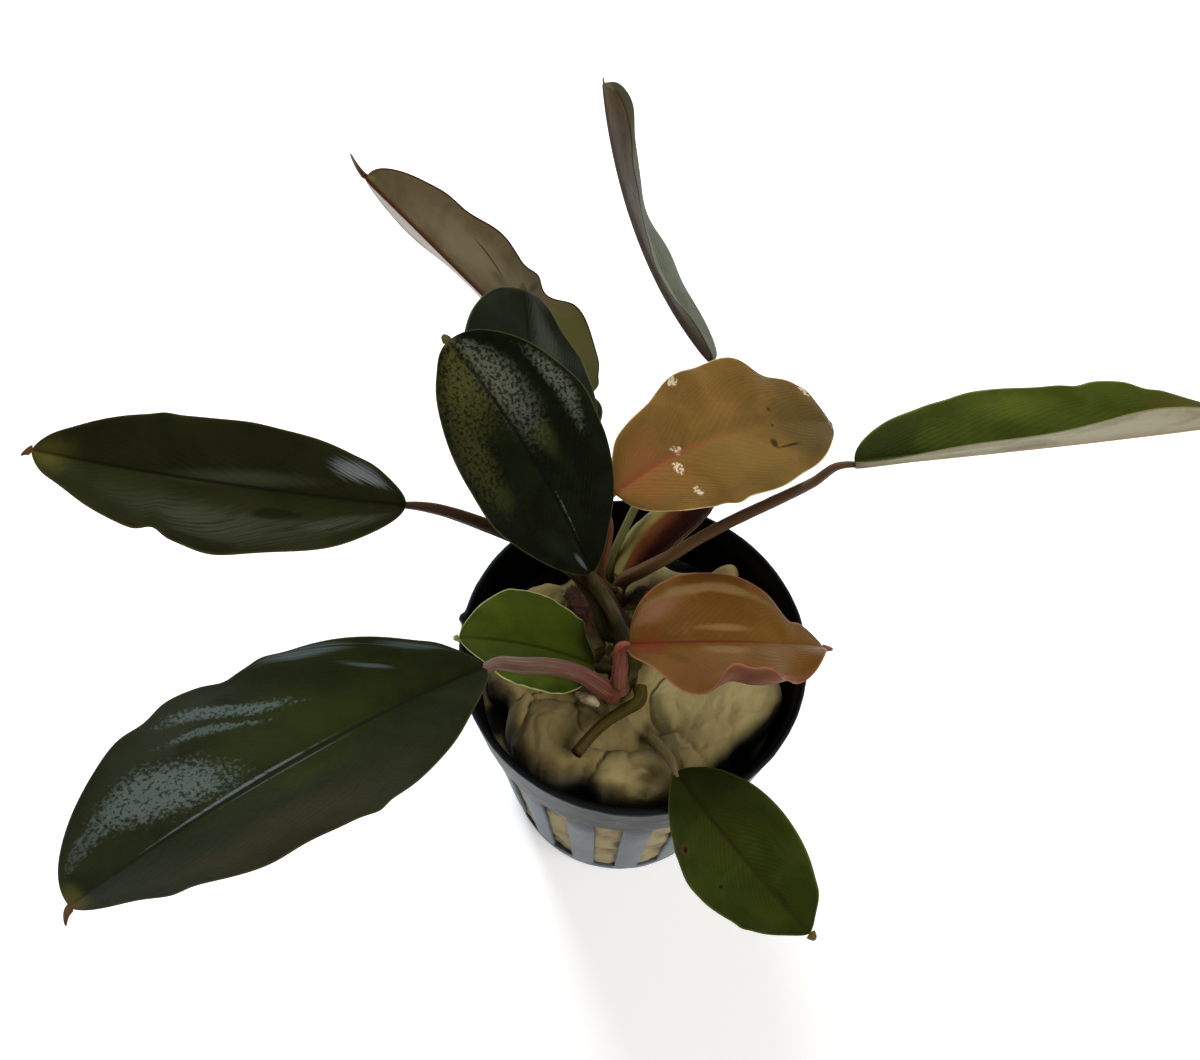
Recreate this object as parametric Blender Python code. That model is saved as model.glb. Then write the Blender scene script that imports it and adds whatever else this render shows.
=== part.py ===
"""Potted bucephalandra: a small rosette of long stalked leaves on a creeping rhizome, rooted in a
mineral wool plug that stands in a round net pot. Lengths below are millimetres and angles are
degrees; the meshes are written in metres. The pot's bottom centre is the origin and +Z is up."""
from dataclasses import dataclass

import bpy
import numpy as np

for old in list(bpy.data.objects):
    bpy.data.objects.remove(old)

METRES_PER_MM = 0.001
GAP = 0.3

POT_HEIGHT = 48.0
POT_RIM_RADIUS = 25.0
POT_COLLAR_HEIGHT = 11.6
POT_COLLAR_FOOT_RADIUS = 23.5
POT_BASKET_TOP_RADIUS = 22.6
POT_FOOT_RADIUS = 18.0
POT_WALL = 1.0
POT_FLOOR = 1.2
WINDOW_COUNT = 16
WINDOW_WIDTH = 3.9
WINDOW_FOOT = 3.0
SLOT_INNER_RADIUS = 7.0
SLOT_OUTER_RADIUS = 14.0

WOOL_TOP = 44.4
WOOL_SWELL = 0.7
WOOL_SECTORS = 40

BLADE_EDGE = 0.5
BLADE_MIDDLE = 0.9
BLADE_ROWS = 14
BLADE_COLUMNS = 3
BLADE_NARROWEST = 0.5
STALK_SIDES = 8

RHIZOME_PATH = [(-1.6, -7.6, 45.9), (-0.9, -4.0, 46.6), (-0.5, 0.5, 47.0), (-0.5, 5.0, 47.1),
                (0.0, 9.0, 47.0), (0.6, 12.2, 46.6)]
RHIZOME_RADII = [1.7, 2.2, 2.4, 2.4, 2.3, 1.7]


@dataclass(frozen=True)
class Margin:
    """One half of a blade: how it folds up from the midrib and how its edge waves.

    A curl is a further bend: its place from the base, its angle and how far along it reaches.
    """
    fold: float
    ripple: float
    phase: float
    wave: float
    waves: int = 2
    curls: tuple = ()

    def curl(self, s):
        """Further bend of the half at each share of the length: a bell curve for each curl."""
        return sum((angle * np.exp(-((s - where) / reach) ** 2) for where, angle, reach in self.curls),
                   0 * s)


@dataclass(frozen=True)
class Leaf:
    """One leaf: where its blade starts, how the midrib runs and how wide the blade is."""
    name: str
    base: tuple
    heading: float
    rise: float
    length: float
    width: float
    droop: float
    sway: float
    roll: float
    twist: float
    widest: float
    base_round: float
    tip_round: float
    left: Margin
    right: Margin
    colour: tuple
    point: float = 1.0

    def midrib(self, s):
        """Points and axes of the midrib: along, to the left and up out of the blade."""
        heading = np.radians(self.heading + self.sway * (s - 0.5))
        pitch = np.radians(self.rise - self.droop * (s - 0.5))
        along = np.stack([np.cos(heading) * np.cos(pitch), np.sin(heading) * np.cos(pitch),
                          np.sin(pitch)], -1)
        level = np.stack([-np.sin(heading), np.cos(heading), 0 * heading], -1)
        upright = np.cross(along, level)
        turn = np.radians(self.roll + self.twist * (s - 0.5))[:, None]
        side = level * np.cos(turn) + upright * np.sin(turn)
        up = -level * np.sin(turn) + upright * np.cos(turn)
        fine = np.linspace(0, 1, 81)
        course = np.radians(self.heading + self.sway * (fine - 0.5))
        slope = np.radians(self.rise - self.droop * (fine - 0.5))
        ray = np.stack([np.cos(course) * np.cos(slope), np.sin(course) * np.cos(slope),
                        np.sin(slope)], -1)
        steps = (ray[1:] + ray[:-1]) / 2 * np.diff(fine)[:, None] * self.length
        path = np.array(self.base) + np.concatenate([[[0, 0, 0]], np.cumsum(steps, 0)])
        middle = np.stack([np.interp(s, fine, path[:, k]) for k in range(3)], -1)
        return middle, along, side, up

    def half_width(self, s):
        """Half the blade's width: a sine of a warped length, blunt at both ends."""
        power = np.log(0.5) / np.log(self.widest)
        round_off = self.base_round + (self.tip_round - self.base_round) * s
        width = self.width / 2 * np.maximum(np.sin(np.pi * s ** power), 0) ** round_off
        return np.maximum(width, BLADE_NARROWEST)

    def half(self, s, v, side):
        """Upper surface of one half, rows along s and columns from midrib to edge along v."""
        middle, _, sideways, up = self.midrib(s)
        margin = self.left if side > 0 else self.right
        turn = 2 * np.pi * margin.waves * s + np.radians(margin.phase)
        fade = np.sin(np.pi * np.clip(s, 0, 1)) ** 0.5
        reach = self.half_width(s) * (1 + margin.ripple * np.sin(turn) * fade)
        fine = np.linspace(0, 1, 33)
        lift = np.radians(margin.fold + (margin.wave * np.sin(turn - 0.9) * fade)[:, None]
                          * fine[None] ** 2 + margin.curl(s)[:, None] * fine[None])
        out = np.concatenate([np.zeros((len(s), 1)),
                              np.cumsum((np.cos(lift[:, 1:]) + np.cos(lift[:, :-1])) / 64, 1)], 1)
        high = np.concatenate([np.zeros((len(s), 1)),
                               np.cumsum((np.sin(lift[:, 1:]) + np.sin(lift[:, :-1])) / 64, 1)], 1)
        pick = np.round(v * 32).astype(int)
        return middle[:, None] + reach[:, None, None] * (
            side * out[:, pick, None] * sideways[:, None] + high[:, pick, None] * up[:, None])

    def tip(self, v, side):
        """Two more rows that draw the blade's end out into its small point."""
        middle, along, sideways, _ = self.midrib(np.array([1.0, 1.0]))
        out = np.array([0.3, 1.0])[:, None] * self.point
        reach = np.array([0.55, 0.2])[:, None, None] * v[None, :, None]
        return (middle + along * out)[:, None] + side * reach * sideways[:, None]


def make_object(name, points, faces, colour, roughness):
    """Add one closed mesh, its faces turned outward, with a material of its own."""
    points = np.asarray(points, float) * METRES_PER_MM
    volume = 0.0
    for face in faces:
        for k in range(1, len(face) - 1):
            volume += np.dot(points[face[0]], np.cross(points[face[k]], points[face[k + 1]]))
    if volume < 0:
        faces = [tuple(reversed(face)) for face in faces]
    mesh = bpy.data.meshes.new(name)
    mesh.from_pydata([tuple(p) for p in points], [], [tuple(int(i) for i in f) for f in faces])
    mesh.validate()
    material = bpy.data.materials.new(name)
    material.use_nodes = True
    shader = material.node_tree.nodes["Principled BSDF"]
    shader.inputs["Base Color"].default_value = (*colour, 1.0)
    shader.inputs["Roughness"].default_value = roughness
    material.diffuse_color = (*colour, 1.0)
    mesh.materials.append(material)
    mesh.shade_smooth()
    mesh.set_sharp_from_angle(angle=np.radians(40))
    item = bpy.data.objects.new(name, mesh)
    bpy.context.collection.objects.link(item)
    return item


def smooth_path(points, count):
    """Even steps along a smooth curve through the given points, and the share run at each."""
    points = np.asarray(points, float)
    run = np.concatenate([[0], np.cumsum(np.linalg.norm(np.diff(points, axis=0), axis=1))])
    slope = np.gradient(points, run, axis=0)
    at = np.linspace(0, run[-1], count)
    seg = np.clip(np.searchsorted(run, at, side="right") - 1, 0, len(run) - 2)
    size = (run[seg + 1] - run[seg])[:, None]
    t = (at - run[seg])[:, None] / size
    curve = ((2 * t ** 3 - 3 * t ** 2 + 1) * points[seg] + (t ** 3 - 2 * t ** 2 + t) * size * slope[seg]
             + (3 * t ** 2 - 2 * t ** 3) * points[seg + 1] + (t ** 3 - t ** 2) * size * slope[seg + 1])
    return curve, at / run[-1]


def axes_along(path):
    """Direction, sideways and upward axes at each point of a path."""
    along = np.gradient(path, axis=0)
    along /= np.linalg.norm(along, axis=1)[:, None]
    chord = path[-1] - path[0]
    level = np.cross(chord, (0, 0, 1.0))
    if np.linalg.norm(level) < 0.1 * np.linalg.norm(chord):
        level = np.array((1.0, 0, 0))
    sideways = level / np.linalg.norm(level)
    up = np.cross(sideways, along)
    up /= np.linalg.norm(up, axis=1)[:, None]
    return along, np.cross(along, up), up


def make_tube(name, path, radii, colour, flat=1.0, sides=STALK_SIDES, roughness=0.5):
    """A closed rod along a path, with the radius at each point and a flattened section."""
    _, sideways, up = axes_along(path)
    turn = np.arange(sides) * 2 * np.pi / sides
    radii = np.asarray(radii, float)[:, None, None]
    ring = path[:, None] + radii * (np.cos(turn)[None, :, None] * sideways[:, None]
                                    + flat * np.sin(turn)[None, :, None] * up[:, None])
    rows = len(path)
    points = ring.reshape(-1, 3)
    faces = []
    for i in range(rows - 1):
        for j in range(sides):
            k = (j + 1) % sides
            faces.append((i * sides + j, i * sides + k, (i + 1) * sides + k, (i + 1) * sides + j))
    faces.append(tuple(reversed(range(sides))))
    faces.append(tuple((rows - 1) * sides + j for j in range(sides)))
    return make_object(name, points, faces, colour, roughness)


def make_blade(leaf):
    """The blade as a thin closed plate: upper surface, underside below it, rim and two ends."""
    s = 0.5 - 0.5 * np.cos(np.pi * np.linspace(0.045, 0.962, BLADE_ROWS))
    v = np.linspace(0, 1, BLADE_COLUMNS + 1)
    left = np.concatenate([leaf.half(s, v, 1), leaf.tip(v, 1)])
    right = np.concatenate([leaf.half(s, v, -1), leaf.tip(v, -1)])
    top = np.concatenate([left[:, :0:-1], right], 1)
    rows, columns = top.shape[:2]
    normal = np.cross(np.gradient(top, axis=0), np.gradient(top, axis=1))
    normal /= np.linalg.norm(normal, axis=2)[..., None]
    _, _, _, up = leaf.midrib(np.append(s, [1.0, 1.0]))
    normal *= np.sign((normal[:, columns // 2] * up).sum(1))[:, None, None]
    across = np.abs(np.linspace(-1, 1, columns))
    ends = np.append(0.5 + 0.5 * np.sin(np.pi * s) ** 0.5, [0.5, 0.5])
    thickness = BLADE_EDGE + (BLADE_MIDDLE - BLADE_EDGE) * (1 - across) ** 2
    thickness = (thickness[None] * ends[:, None])[..., None]
    top = top + normal * thickness * 0.4
    under = top - normal * thickness
    points = np.concatenate([top.reshape(-1, 3), under.reshape(-1, 3)])
    half = rows * columns
    faces = []
    for i in range(rows - 1):
        for j in range(columns - 1):
            a, b = i * columns + j, (i + 1) * columns + j
            faces.append((a, b, b + 1, a + 1))
            faces.append((half + a, half + a + 1, half + b + 1, half + b))
        a, b = i * columns, (i + 1) * columns
        faces.append((a, half + a, half + b, b))
        a, b = a + columns - 1, b + columns - 1
        faces.append((a, b, half + b, half + a))
    last = (rows - 1) * columns
    for j in range(columns - 1):
        faces.append((j, j + 1, half + j + 1, half + j))
        faces.append((last + j, half + last + j, half + last + j + 1, last + j + 1))
    return make_object("leaf_" + leaf.name, points, faces, leaf.colour, 0.35)


def rhizome_joint(along, around):
    """A spot just off the rhizome, at a share of its length, and the way out of it there."""
    path, _ = smooth_path(RHIZOME_PATH, 41)
    share = np.linspace(0, 1, 41)
    centre = np.array([np.interp(along, share, path[:, k]) for k in range(3)])
    radius = np.interp(along, np.linspace(0, 1, len(RHIZOME_RADII)), RHIZOME_RADII)
    turn = np.radians(around)
    way = np.array([-np.sin(turn), 0.0, np.cos(turn)])
    return centre + way * (radius + GAP + 0.4), way


def make_stalk(leaf, along, around, via, foot_radius, top_radius, colour, rings=10, lead=1.6):
    """The leaf's stalk, from just off the rhizome to just short of the blade."""
    start, way = rhizome_joint(along, around)
    _, ahead, _, up = leaf.midrib(np.array([0.0, 0.01]))
    end = np.array(leaf.base) - ahead[0] * GAP - up[0] * BLADE_MIDDLE * 0.1
    path, share = smooth_path([start, start + way, *via, end - ahead[0] * lead, end], rings)
    radii = foot_radius + (top_radius - foot_radius) * share ** 0.6
    return make_tube("stalk_" + leaf.name, path, radii, colour)


def make_pot():
    """The net pot: floor with slots, ribbed basket, plain collar and rim, as one closed shell."""
    lip = POT_HEIGHT - POT_COLLAR_HEIGHT
    basket = POT_BASKET_TOP_RADIUS
    outer = [(0.0, 0.0), (SLOT_INNER_RADIUS, 0.0), (SLOT_OUTER_RADIUS, 0.0), (POT_FOOT_RADIUS, 0.0),
             (POT_FOOT_RADIUS + 0.3, WINDOW_FOOT), (basket - 0.1, lip - 1.2), (basket, lip - 0.1),
             (POT_COLLAR_FOOT_RADIUS, lip), (POT_RIM_RADIUS, POT_HEIGHT)]
    inner = [(0.0, POT_FLOOR), (SLOT_INNER_RADIUS, POT_FLOOR), (SLOT_OUTER_RADIUS, POT_FLOOR),
             (POT_FOOT_RADIUS - POT_WALL, POT_FLOOR), (POT_FOOT_RADIUS + 0.3 - POT_WALL, WINDOW_FOOT),
             (basket - 0.1 - POT_WALL, lip - 1.2), (basket - POT_WALL, lip - 0.1),
             (POT_COLLAR_FOOT_RADIUS - 1.2, lip + 1.0), (POT_RIM_RADIUS - POT_WALL, POT_HEIGHT)]
    half = WINDOW_WIDTH / 2 / ((POT_FOOT_RADIUS + basket) / 2)
    step = 2 * np.pi / WINDOW_COUNT
    angles = []
    for k in range(WINDOW_COUNT):
        angles += [k * step - half, k * step + half, k * step + step / 2]
    count = len(angles)
    points = [(0, 0, 0), (0, 0, POT_FLOOR)]
    for turn in angles:
        for r, z in outer[1:]:
            points.append((r * np.cos(turn), r * np.sin(turn), z))
        for r, z in inner[1:]:
            points.append((r * np.cos(turn), r * np.sin(turn), z))
    levels = len(outer) - 1

    def spot(j, i, shell):
        """Index of one point: sector edge j, level i, shell 0 outside or 1 inside."""
        return shell if i == 0 else 2 + (j % count) * 2 * levels + shell * levels + i - 1

    def is_hole(j, i):
        """Windows and slots lie in every third sector, at two of the levels."""
        return j % 3 == 0 and i in (1, 4)

    faces = []
    for j in range(count):
        for i in range(levels):
            if is_hole(j, i):
                for edge in (j, j + 1):
                    a, b = spot(edge, i, 0), spot(edge, i + 1, 0)
                    c, d = spot(edge, i + 1, 1), spot(edge, i, 1)
                    faces.append((d, c, b, a) if edge == j else (a, b, c, d))
                for level in (i, i + 1):
                    a, b = spot(j, level, 0), spot(j + 1, level, 0)
                    c, d = spot(j + 1, level, 1), spot(j, level, 1)
                    faces.append((a, b, c, d) if level == i else (d, c, b, a))
            elif i == 0:
                faces.append((0, spot(j + 1, 1, 0), spot(j, 1, 0)))
                faces.append((1, spot(j, 1, 1), spot(j + 1, 1, 1)))
            else:
                faces.append((spot(j, i, 0), spot(j, i + 1, 0), spot(j + 1, i + 1, 0),
                              spot(j + 1, i, 0))[::-1])
                faces.append((spot(j, i, 1), spot(j, i + 1, 1), spot(j + 1, i + 1, 1),
                              spot(j + 1, i, 1)))
        faces.append((spot(j, levels, 0), spot(j, levels, 1), spot(j + 1, levels, 1),
                      spot(j + 1, levels, 0))[::-1])
    return make_object("pot", points, faces, (0.02, 0.022, 0.026), 0.4)


def wool_edge(turn):
    """Radius of the wool's top edge: the plug has torn away from the wall in a few places."""
    radius = np.full_like(turn, 21.3)
    for centre, spread, depth in ((128, 26, 5.2), (58, 15, 4.2), (-36, 17, 3.2), (-118, 8, 2.6),
                                  (-152, 9, 2.4)):
        away = (np.degrees(turn) - centre + 180) % 360 - 180
        radius -= depth * np.exp(-(away / spread) ** 2)
    return radius


def wool_height(x, y, laid):
    """Height of the wool's top: soft swells, pressed down under what lies on it."""
    height = WOOL_TOP + WOOL_SWELL * (0.6 * np.sin(0.42 * x + 0.9) * np.cos(0.36 * y - 0.4)
                                      + 0.4 * np.sin(0.31 * x - 0.47 * y + 2.0))
    for path, radii in laid:
        for centre, radius in zip(path, radii):
            away = (x - centre[0]) ** 2 + (y - centre[1]) ** 2
            reach = radius + 1.5
            dip = centre[2] - np.sqrt(np.maximum(reach ** 2 - away, 0))
            height = np.where(away < reach ** 2, np.minimum(height, dip), height)
    return height


def make_wool(laid):
    """The wool plug: it fills the basket and has a torn, dished top with the rhizome's trough."""
    turn = np.arange(WOOL_SECTORS) * 2 * np.pi / WOOL_SECTORS
    inside = POT_BASKET_TOP_RADIUS - POT_WALL - 0.65
    rows = []
    for radius, height in ((10.0, POT_FLOOR + GAP), (POT_FOOT_RADIUS - POT_WALL - 0.65, POT_FLOOR + GAP),
                           (inside, 34.0)):
        rows.append(np.stack([radius * np.cos(turn), radius * np.sin(turn), 0 * turn + height], -1))
    edge = wool_edge(turn)
    torn = np.clip((21.3 - edge) / 3, 0, 1)
    for share, drop in ((1.0, 3.2), (0.985, 1.4), (0.93, 0.35), (0.8, 0), (0.62, 0), (0.46, 0),
                        (0.3, 0), (0.15, 0)):
        x, y = share * edge * np.cos(turn), share * edge * np.sin(turn)
        top = wool_height(x, y, laid) - drop * (1 + 0.6 * torn)
        rows.append(np.stack([x, y, top], -1))
    points = np.concatenate([np.array([[0, 0, POT_FLOOR + GAP]]), np.concatenate(rows),
                             [[0, 0, float(wool_height(np.zeros(1), np.zeros(1), laid)[0])]]])
    n = WOOL_SECTORS
    faces = []
    for j in range(n):
        k = (j + 1) % n
        faces.append((0, 1 + k, 1 + j))
        for i in range(len(rows) - 1):
            a, b = 1 + i * n, 1 + (i + 1) * n
            faces.append((a + j, a + k, b + k, b + j))
        last = 1 + (len(rows) - 1) * n
        faces.append((last + j, last + k, len(points) - 1))
    return make_object("wool", points, faces, (0.42, 0.38, 0.24), 0.95)


DARK = (0.03, 0.05, 0.02)
GREEN = (0.06, 0.12, 0.02)
TAUPE = (0.2, 0.17, 0.12)
AMBER = (0.36, 0.2, 0.05)

LEFT_UPPER = Leaf("left_upper", (-31.9, 3.9, 71.5), 187, 12, 46.3, 18.2, 10, -14.4, -18.9, 16.1, 0.47,
                  0.65, 0.66, Margin(13.3, 0.04, 250, 8.1, 3), Margin(32.2, 0.053, 231, 8.6), DARK)
LEFT_LOWER = Leaf("left_lower", (-18.6, -13.1, 62.3), 229, 16, 56.4, 32.7, 7, 12, 11.7, 27.5, 0.59,
                  0.49, 0.52, Margin(18.6, 0.021, 161, 7.2), Margin(7, 0.02, -29, 11), DARK, 1.8)
CENTRE = Leaf("centre", (-7.1, 4.0, 60.0), 146, 48.3, 38.5, 21, 27, 7.9, -5.6, 7.3, 0.56,
              0.594, 0.476, Margin(7.8, 0.021, 134, 7.6), Margin(9.4, 0.011, 17, 7.0), DARK)
BEHIND = Leaf("behind", (-13.2, 8.6, 58.2), 107, 30.7, 36.5, 23.8, 23.9, -4, 27, 17.6, 0.54,
              0.554, 0.336, Margin(-2.2, 0.042, 146, 8.6), Margin(-14.6, 0.038, 42, 9.9), DARK)
UPPER_LEFT = Leaf("upper_left", (-12.2, 38.6, 54.5), 155, 29.1, 46.3, 21.1, 11, -7.2, 88.1, 18.4, 0.386,
                  0.505, 0.416, Margin(15.5, 0.044, 217, 11.4, 3), Margin(23, 0.032, 79, 9.2), TAUPE, 2.2)
TOP = Leaf("top", (5.9, 40.6, 64.3), 123.6, 28.6, 45.7, 16.6, -55, -16.5, 71.7, 13.6, 0.465,
           0.67, 0.25, Margin(10.2, 0.031, 159, 4.8, 3, ((0.28, -26, 0.14), (0.88, 28, 0.13))),
           Margin(29.9, 0.031, 186, 6.2, 4, ((0.56, -22, 0.17), (0.94, 32, 0.09))), TAUPE)
RIGHT = Leaf("right", (26.2, 20.9, 70.6), 12.3, 6.6, 56, 19.1, 13.4, 10.4, -30.7, -34.4, 0.45,
             0.55, 0.76, Margin(32.9, 0.049, -14, 11.2), Margin(38.5, 0.033, 4, 8), GREEN)
AMBER_UPPER = Leaf("amber_upper", (-5.3, 13.1, 66.9), 34, -6.4, 36.2, 21.6, 30.2, -27.7, 8.5, -43.2,
                   0.573, 0.385, 0.536, Margin(11, 0.052, 248, 12.9, 4), Margin(5.6, 0.028, 256, 8.5, 4),
                   AMBER, 0.6)
AMBER_LOWER = Leaf("amber_lower", (-0.7, -4.9, 57.9), 11.1, -6.1, 27.7, 22.9, 35.2, 9, -11.5, -12.1,
                   0.416, 0.513, 0.675, Margin(5.8, 0.023, 29, 8.8), Margin(27.4, -0.065, 140, 32.6),
                   AMBER, 1.6)
SMALL_GREEN = Leaf("small_green", (-5.0, -4.7, 49.6), 187, 21.3, 20.2, 17.5, 12.9, 17.7, 10.3, 5.1,
                   0.53, 0.643, 0.61, Margin(10.7, 0.033, -10, 7.1, 4), Margin(7.8, 0.015, 251, 6.1, 4),
                   GREEN, 0.8)
BOTTOM = Leaf("bottom", (7.9, -18.6, 49.4), 314, 4.9, 27.2, 15.3, 17.8, 11.2, 23.2, -5.5, 0.523,
              0.586, 0.675, Margin(8.2, 0.029, 225, 7.7), Margin(1.6, 0.024, 100, 8), GREEN)
LEAVES = (LEFT_UPPER, LEFT_LOWER, CENTRE, BEHIND, UPPER_LEFT, TOP, RIGHT, AMBER_UPPER, AMBER_LOWER,
          SMALL_GREEN, BOTTOM)

for leaf in LEAVES:
    make_blade(leaf)

BROWN = (0.1, 0.045, 0.025)
PINK = (0.3, 0.12, 0.09)
OLIVE = (0.12, 0.1, 0.03)
PALE = (0.4, 0.36, 0.16)

make_stalk(LEFT_UPPER, 0.55, 35, [(-5.6, 5.3, 53.2), (-12.0, 5.4, 60.4), (-21.3, 5.4, 66.4)],
           1.25, 0.95, BROWN, 12)
make_stalk(LEFT_LOWER, 0.0, 62, [(-4.6, -8.9, 52.5), (-6.2, -9.2, 57.6), (-9.3, -10.0, 60.5),
                                 (-14.4, -11.6, 62.2)], 1.3, 1.2, PINK, 13)
make_stalk(CENTRE, 0.29, 0, [(-2.2, -0.4, 53.5), (-5.0, 2.0, 57.4)], 1.35, 1.0, OLIVE)
make_stalk(BEHIND, 0.45, 68, [(-6.5, 4.8, 50.6), (-10.4, 7.0, 54.8)], 1.0, 0.8, OLIVE)
make_stalk(UPPER_LEFT, 0.68, 92, [(-6.2, 8.0, 47.1), (-8.3, 13.6, 48.4), (-10.0, 22.0, 50.2),
                                 (-11.2, 31.0, 52.0)], 0.9, 0.8, OLIVE)
make_stalk(TOP, 0.9, 95, [(-5.0, 11.3, 47.4), (-5.1, 12.6, 49.4), (-4.2, 14.8, 52.2), (-2.9, 18.0, 54.8),
                          (0.2, 26.5, 57.6), (3.9, 35.2, 60.2)], 0.65, 0.6, (0.14, 0.14, 0.04), 12)
make_stalk(RIGHT, 0.8, -8, [(-0.1, 9.9, 51.8), (1.4, 11.4, 53.5), (6.3, 13.6, 57.2), (11.0, 15.4, 60.0),
                            (16.2, 17.4, 63.3), (21.4, 19.4, 66.8)], 1.05, 0.85, BROWN, 12)
make_stalk(AMBER_UPPER, 0.86, 60, [(-5.9, 8.8, 50.0), (-5.9, 9.9, 54.6), (-5.7, 11.6, 61.0)],
           0.85, 0.6, PINK, 12)
make_stalk(AMBER_LOWER, 0.06, 0, [(-1.4, -7.4, 51.5), (-1.5, -6.6, 54.6)], 1.35, 1.1, PINK, lead=0.4)
make_stalk(SMALL_GREEN, 0.16, 50, [], 0.8, 0.7, OLIVE, 5, 0.6)

bottom_path, share = smooth_path([(3.7, -12.1, 45.5), (4.8, -13.3, 46.1), (7.1, -16.4, 47.9),
                                  (7.75, -18.0, 48.9)], 8)
bottom_radii = 1.0 - 0.25 * share
make_tube("stalk_bottom", bottom_path, bottom_radii, PALE)

rhizome_path, share = smooth_path(RHIZOME_PATH, 14)
rhizome_radii = np.interp(share, np.linspace(0, 1, len(RHIZOME_RADII)), RHIZOME_RADII)
rhizome_radii = rhizome_radii * np.sqrt(1 - 0.75 * (2 * share - 1) ** 8)
make_tube("rhizome", rhizome_path, rhizome_radii, (0.14, 0.13, 0.04), sides=10)

roll_path, share = smooth_path([(-1.7, 12.1, 49.3), (0.3, 15.4, 51.3), (3.3, 18.6, 53.8),
                                (8.0, 22.5, 57.0)], 10)
make_tube("rolled_leaf", roll_path, 0.4 + 2.7 * np.sin(np.pi * (0.1 + 0.9 * share)) ** 0.8,
          (0.16, 0.04, 0.02), flat=0.5)

brown_path, share = smooth_path([(-9.8, 8.6, 46.8), (-7.4, 4.0, 47.0), (-4.8, -0.6, 46.6)], 8)
brown_radii = 1.9 - 0.9 * share
make_tube("brown_sheath", brown_path, brown_radii, (0.1, 0.035, 0.015), flat=0.45)

stub_path, share = smooth_path([(4.0, -5.9, 46.2), (2.3, -7.9, 46.7), (0.3, -10.3, 47.2),
                                (-2.2, -13.2, 47.6), (-4.2, -15.3, 47.6), (-6.0, -17.3, 47.4)], 12)
stub_radii = 1.0 - 0.15 * share
make_tube("cut_stub", stub_path, stub_radii, OLIVE)

cream_path, share = smooth_path([(-8.2, -9.6, 46.4), (-6.2, -10.0, 46.6), (-4.2, -10.8, 46.4)], 6)
cream_radii = 0.3 + 0.6 * np.sin(np.pi * share)
make_tube("cream_scale", cream_path, cream_radii, (0.5, 0.46, 0.3), flat=0.5, sides=6)

bud_path, share = smooth_path([(-3.3, 7.2, 48.9), (-3.7, 7.2, 49.8), (-4.0, 7.0, 50.8)], 6)
make_tube("bud", bud_path, 0.35 + 0.6 * np.sin(np.pi * (0.15 + 0.7 * share)), (0.35, 0.25, 0.13),
          sides=6)

make_pot()
make_wool([(rhizome_path, rhizome_radii), (stub_path, stub_radii), (bottom_path, bottom_radii),
           (brown_path, brown_radii), (cream_path, cream_radii)])
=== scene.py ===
"""Looks of a potted bucephalandra: a rosette of stalked leaves on a creeping rhizome, rooted in a
mineral wool plug in a round net pot. Sizes are millimetres and angles are degrees; meshes are
written in metres, with the pot's bottom centre at the origin and +Z up."""
import logging
from dataclasses import dataclass
from enum import Enum
from typing import Protocol

import bpy
import numpy as np
from mathutils import Matrix

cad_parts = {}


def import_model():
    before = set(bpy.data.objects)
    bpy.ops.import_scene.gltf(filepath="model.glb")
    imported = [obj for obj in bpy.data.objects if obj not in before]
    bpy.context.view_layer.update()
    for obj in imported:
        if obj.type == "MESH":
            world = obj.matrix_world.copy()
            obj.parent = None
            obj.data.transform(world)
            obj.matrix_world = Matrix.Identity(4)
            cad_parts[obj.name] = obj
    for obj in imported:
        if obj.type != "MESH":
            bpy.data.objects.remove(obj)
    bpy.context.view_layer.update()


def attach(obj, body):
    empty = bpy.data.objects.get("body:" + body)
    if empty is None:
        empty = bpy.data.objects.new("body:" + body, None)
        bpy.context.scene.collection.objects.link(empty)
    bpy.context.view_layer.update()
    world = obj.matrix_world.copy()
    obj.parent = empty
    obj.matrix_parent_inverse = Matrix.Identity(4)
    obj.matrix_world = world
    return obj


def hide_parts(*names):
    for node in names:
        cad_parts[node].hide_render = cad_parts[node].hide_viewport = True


LOG = logging.getLogger("bucephalandra")
MM = 0.001
TURN = 6.2832
VEIN_SHARPNESS = 5.0
SECTION_STEPS = 64
HOLE_LEVEL = 0.6
HOLE_SPREAD = 0.18
HOLE_EDGE = 0.12
HOLE_DEPTH = 0.8
Colour = tuple[float, float, float]
Vector = tuple[float, float, float]


def tint(red: int, green: int, blue: int) -> Colour:
    """A screen colour, 0 to 255 a channel, as the linear colour that shaders use.

    Args:
        red: Red level.
        green: Green level.
        blue: Blue level.

    Returns:
        The linear colour.
    """
    level = np.array([red, green, blue]) / 255.0
    linear = np.where(level <= 0.04045, level / 12.92, ((level + 0.055) / 1.055) ** 2.4)
    return tuple(float(part) for part in linear)


class Side(Enum):
    """The two halves of a blade, as seen from above with its tip ahead."""
    LEFT = 1
    RIGHT = -1


class Face(Enum):
    """The two faces of a blade."""
    UPPER = 1
    UNDER = -1


class Finish(Protocol):
    """Anything that can make the material of a piece."""

    def material(self, name: str) -> bpy.types.Material:
        """Make the material under the given name."""


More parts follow.
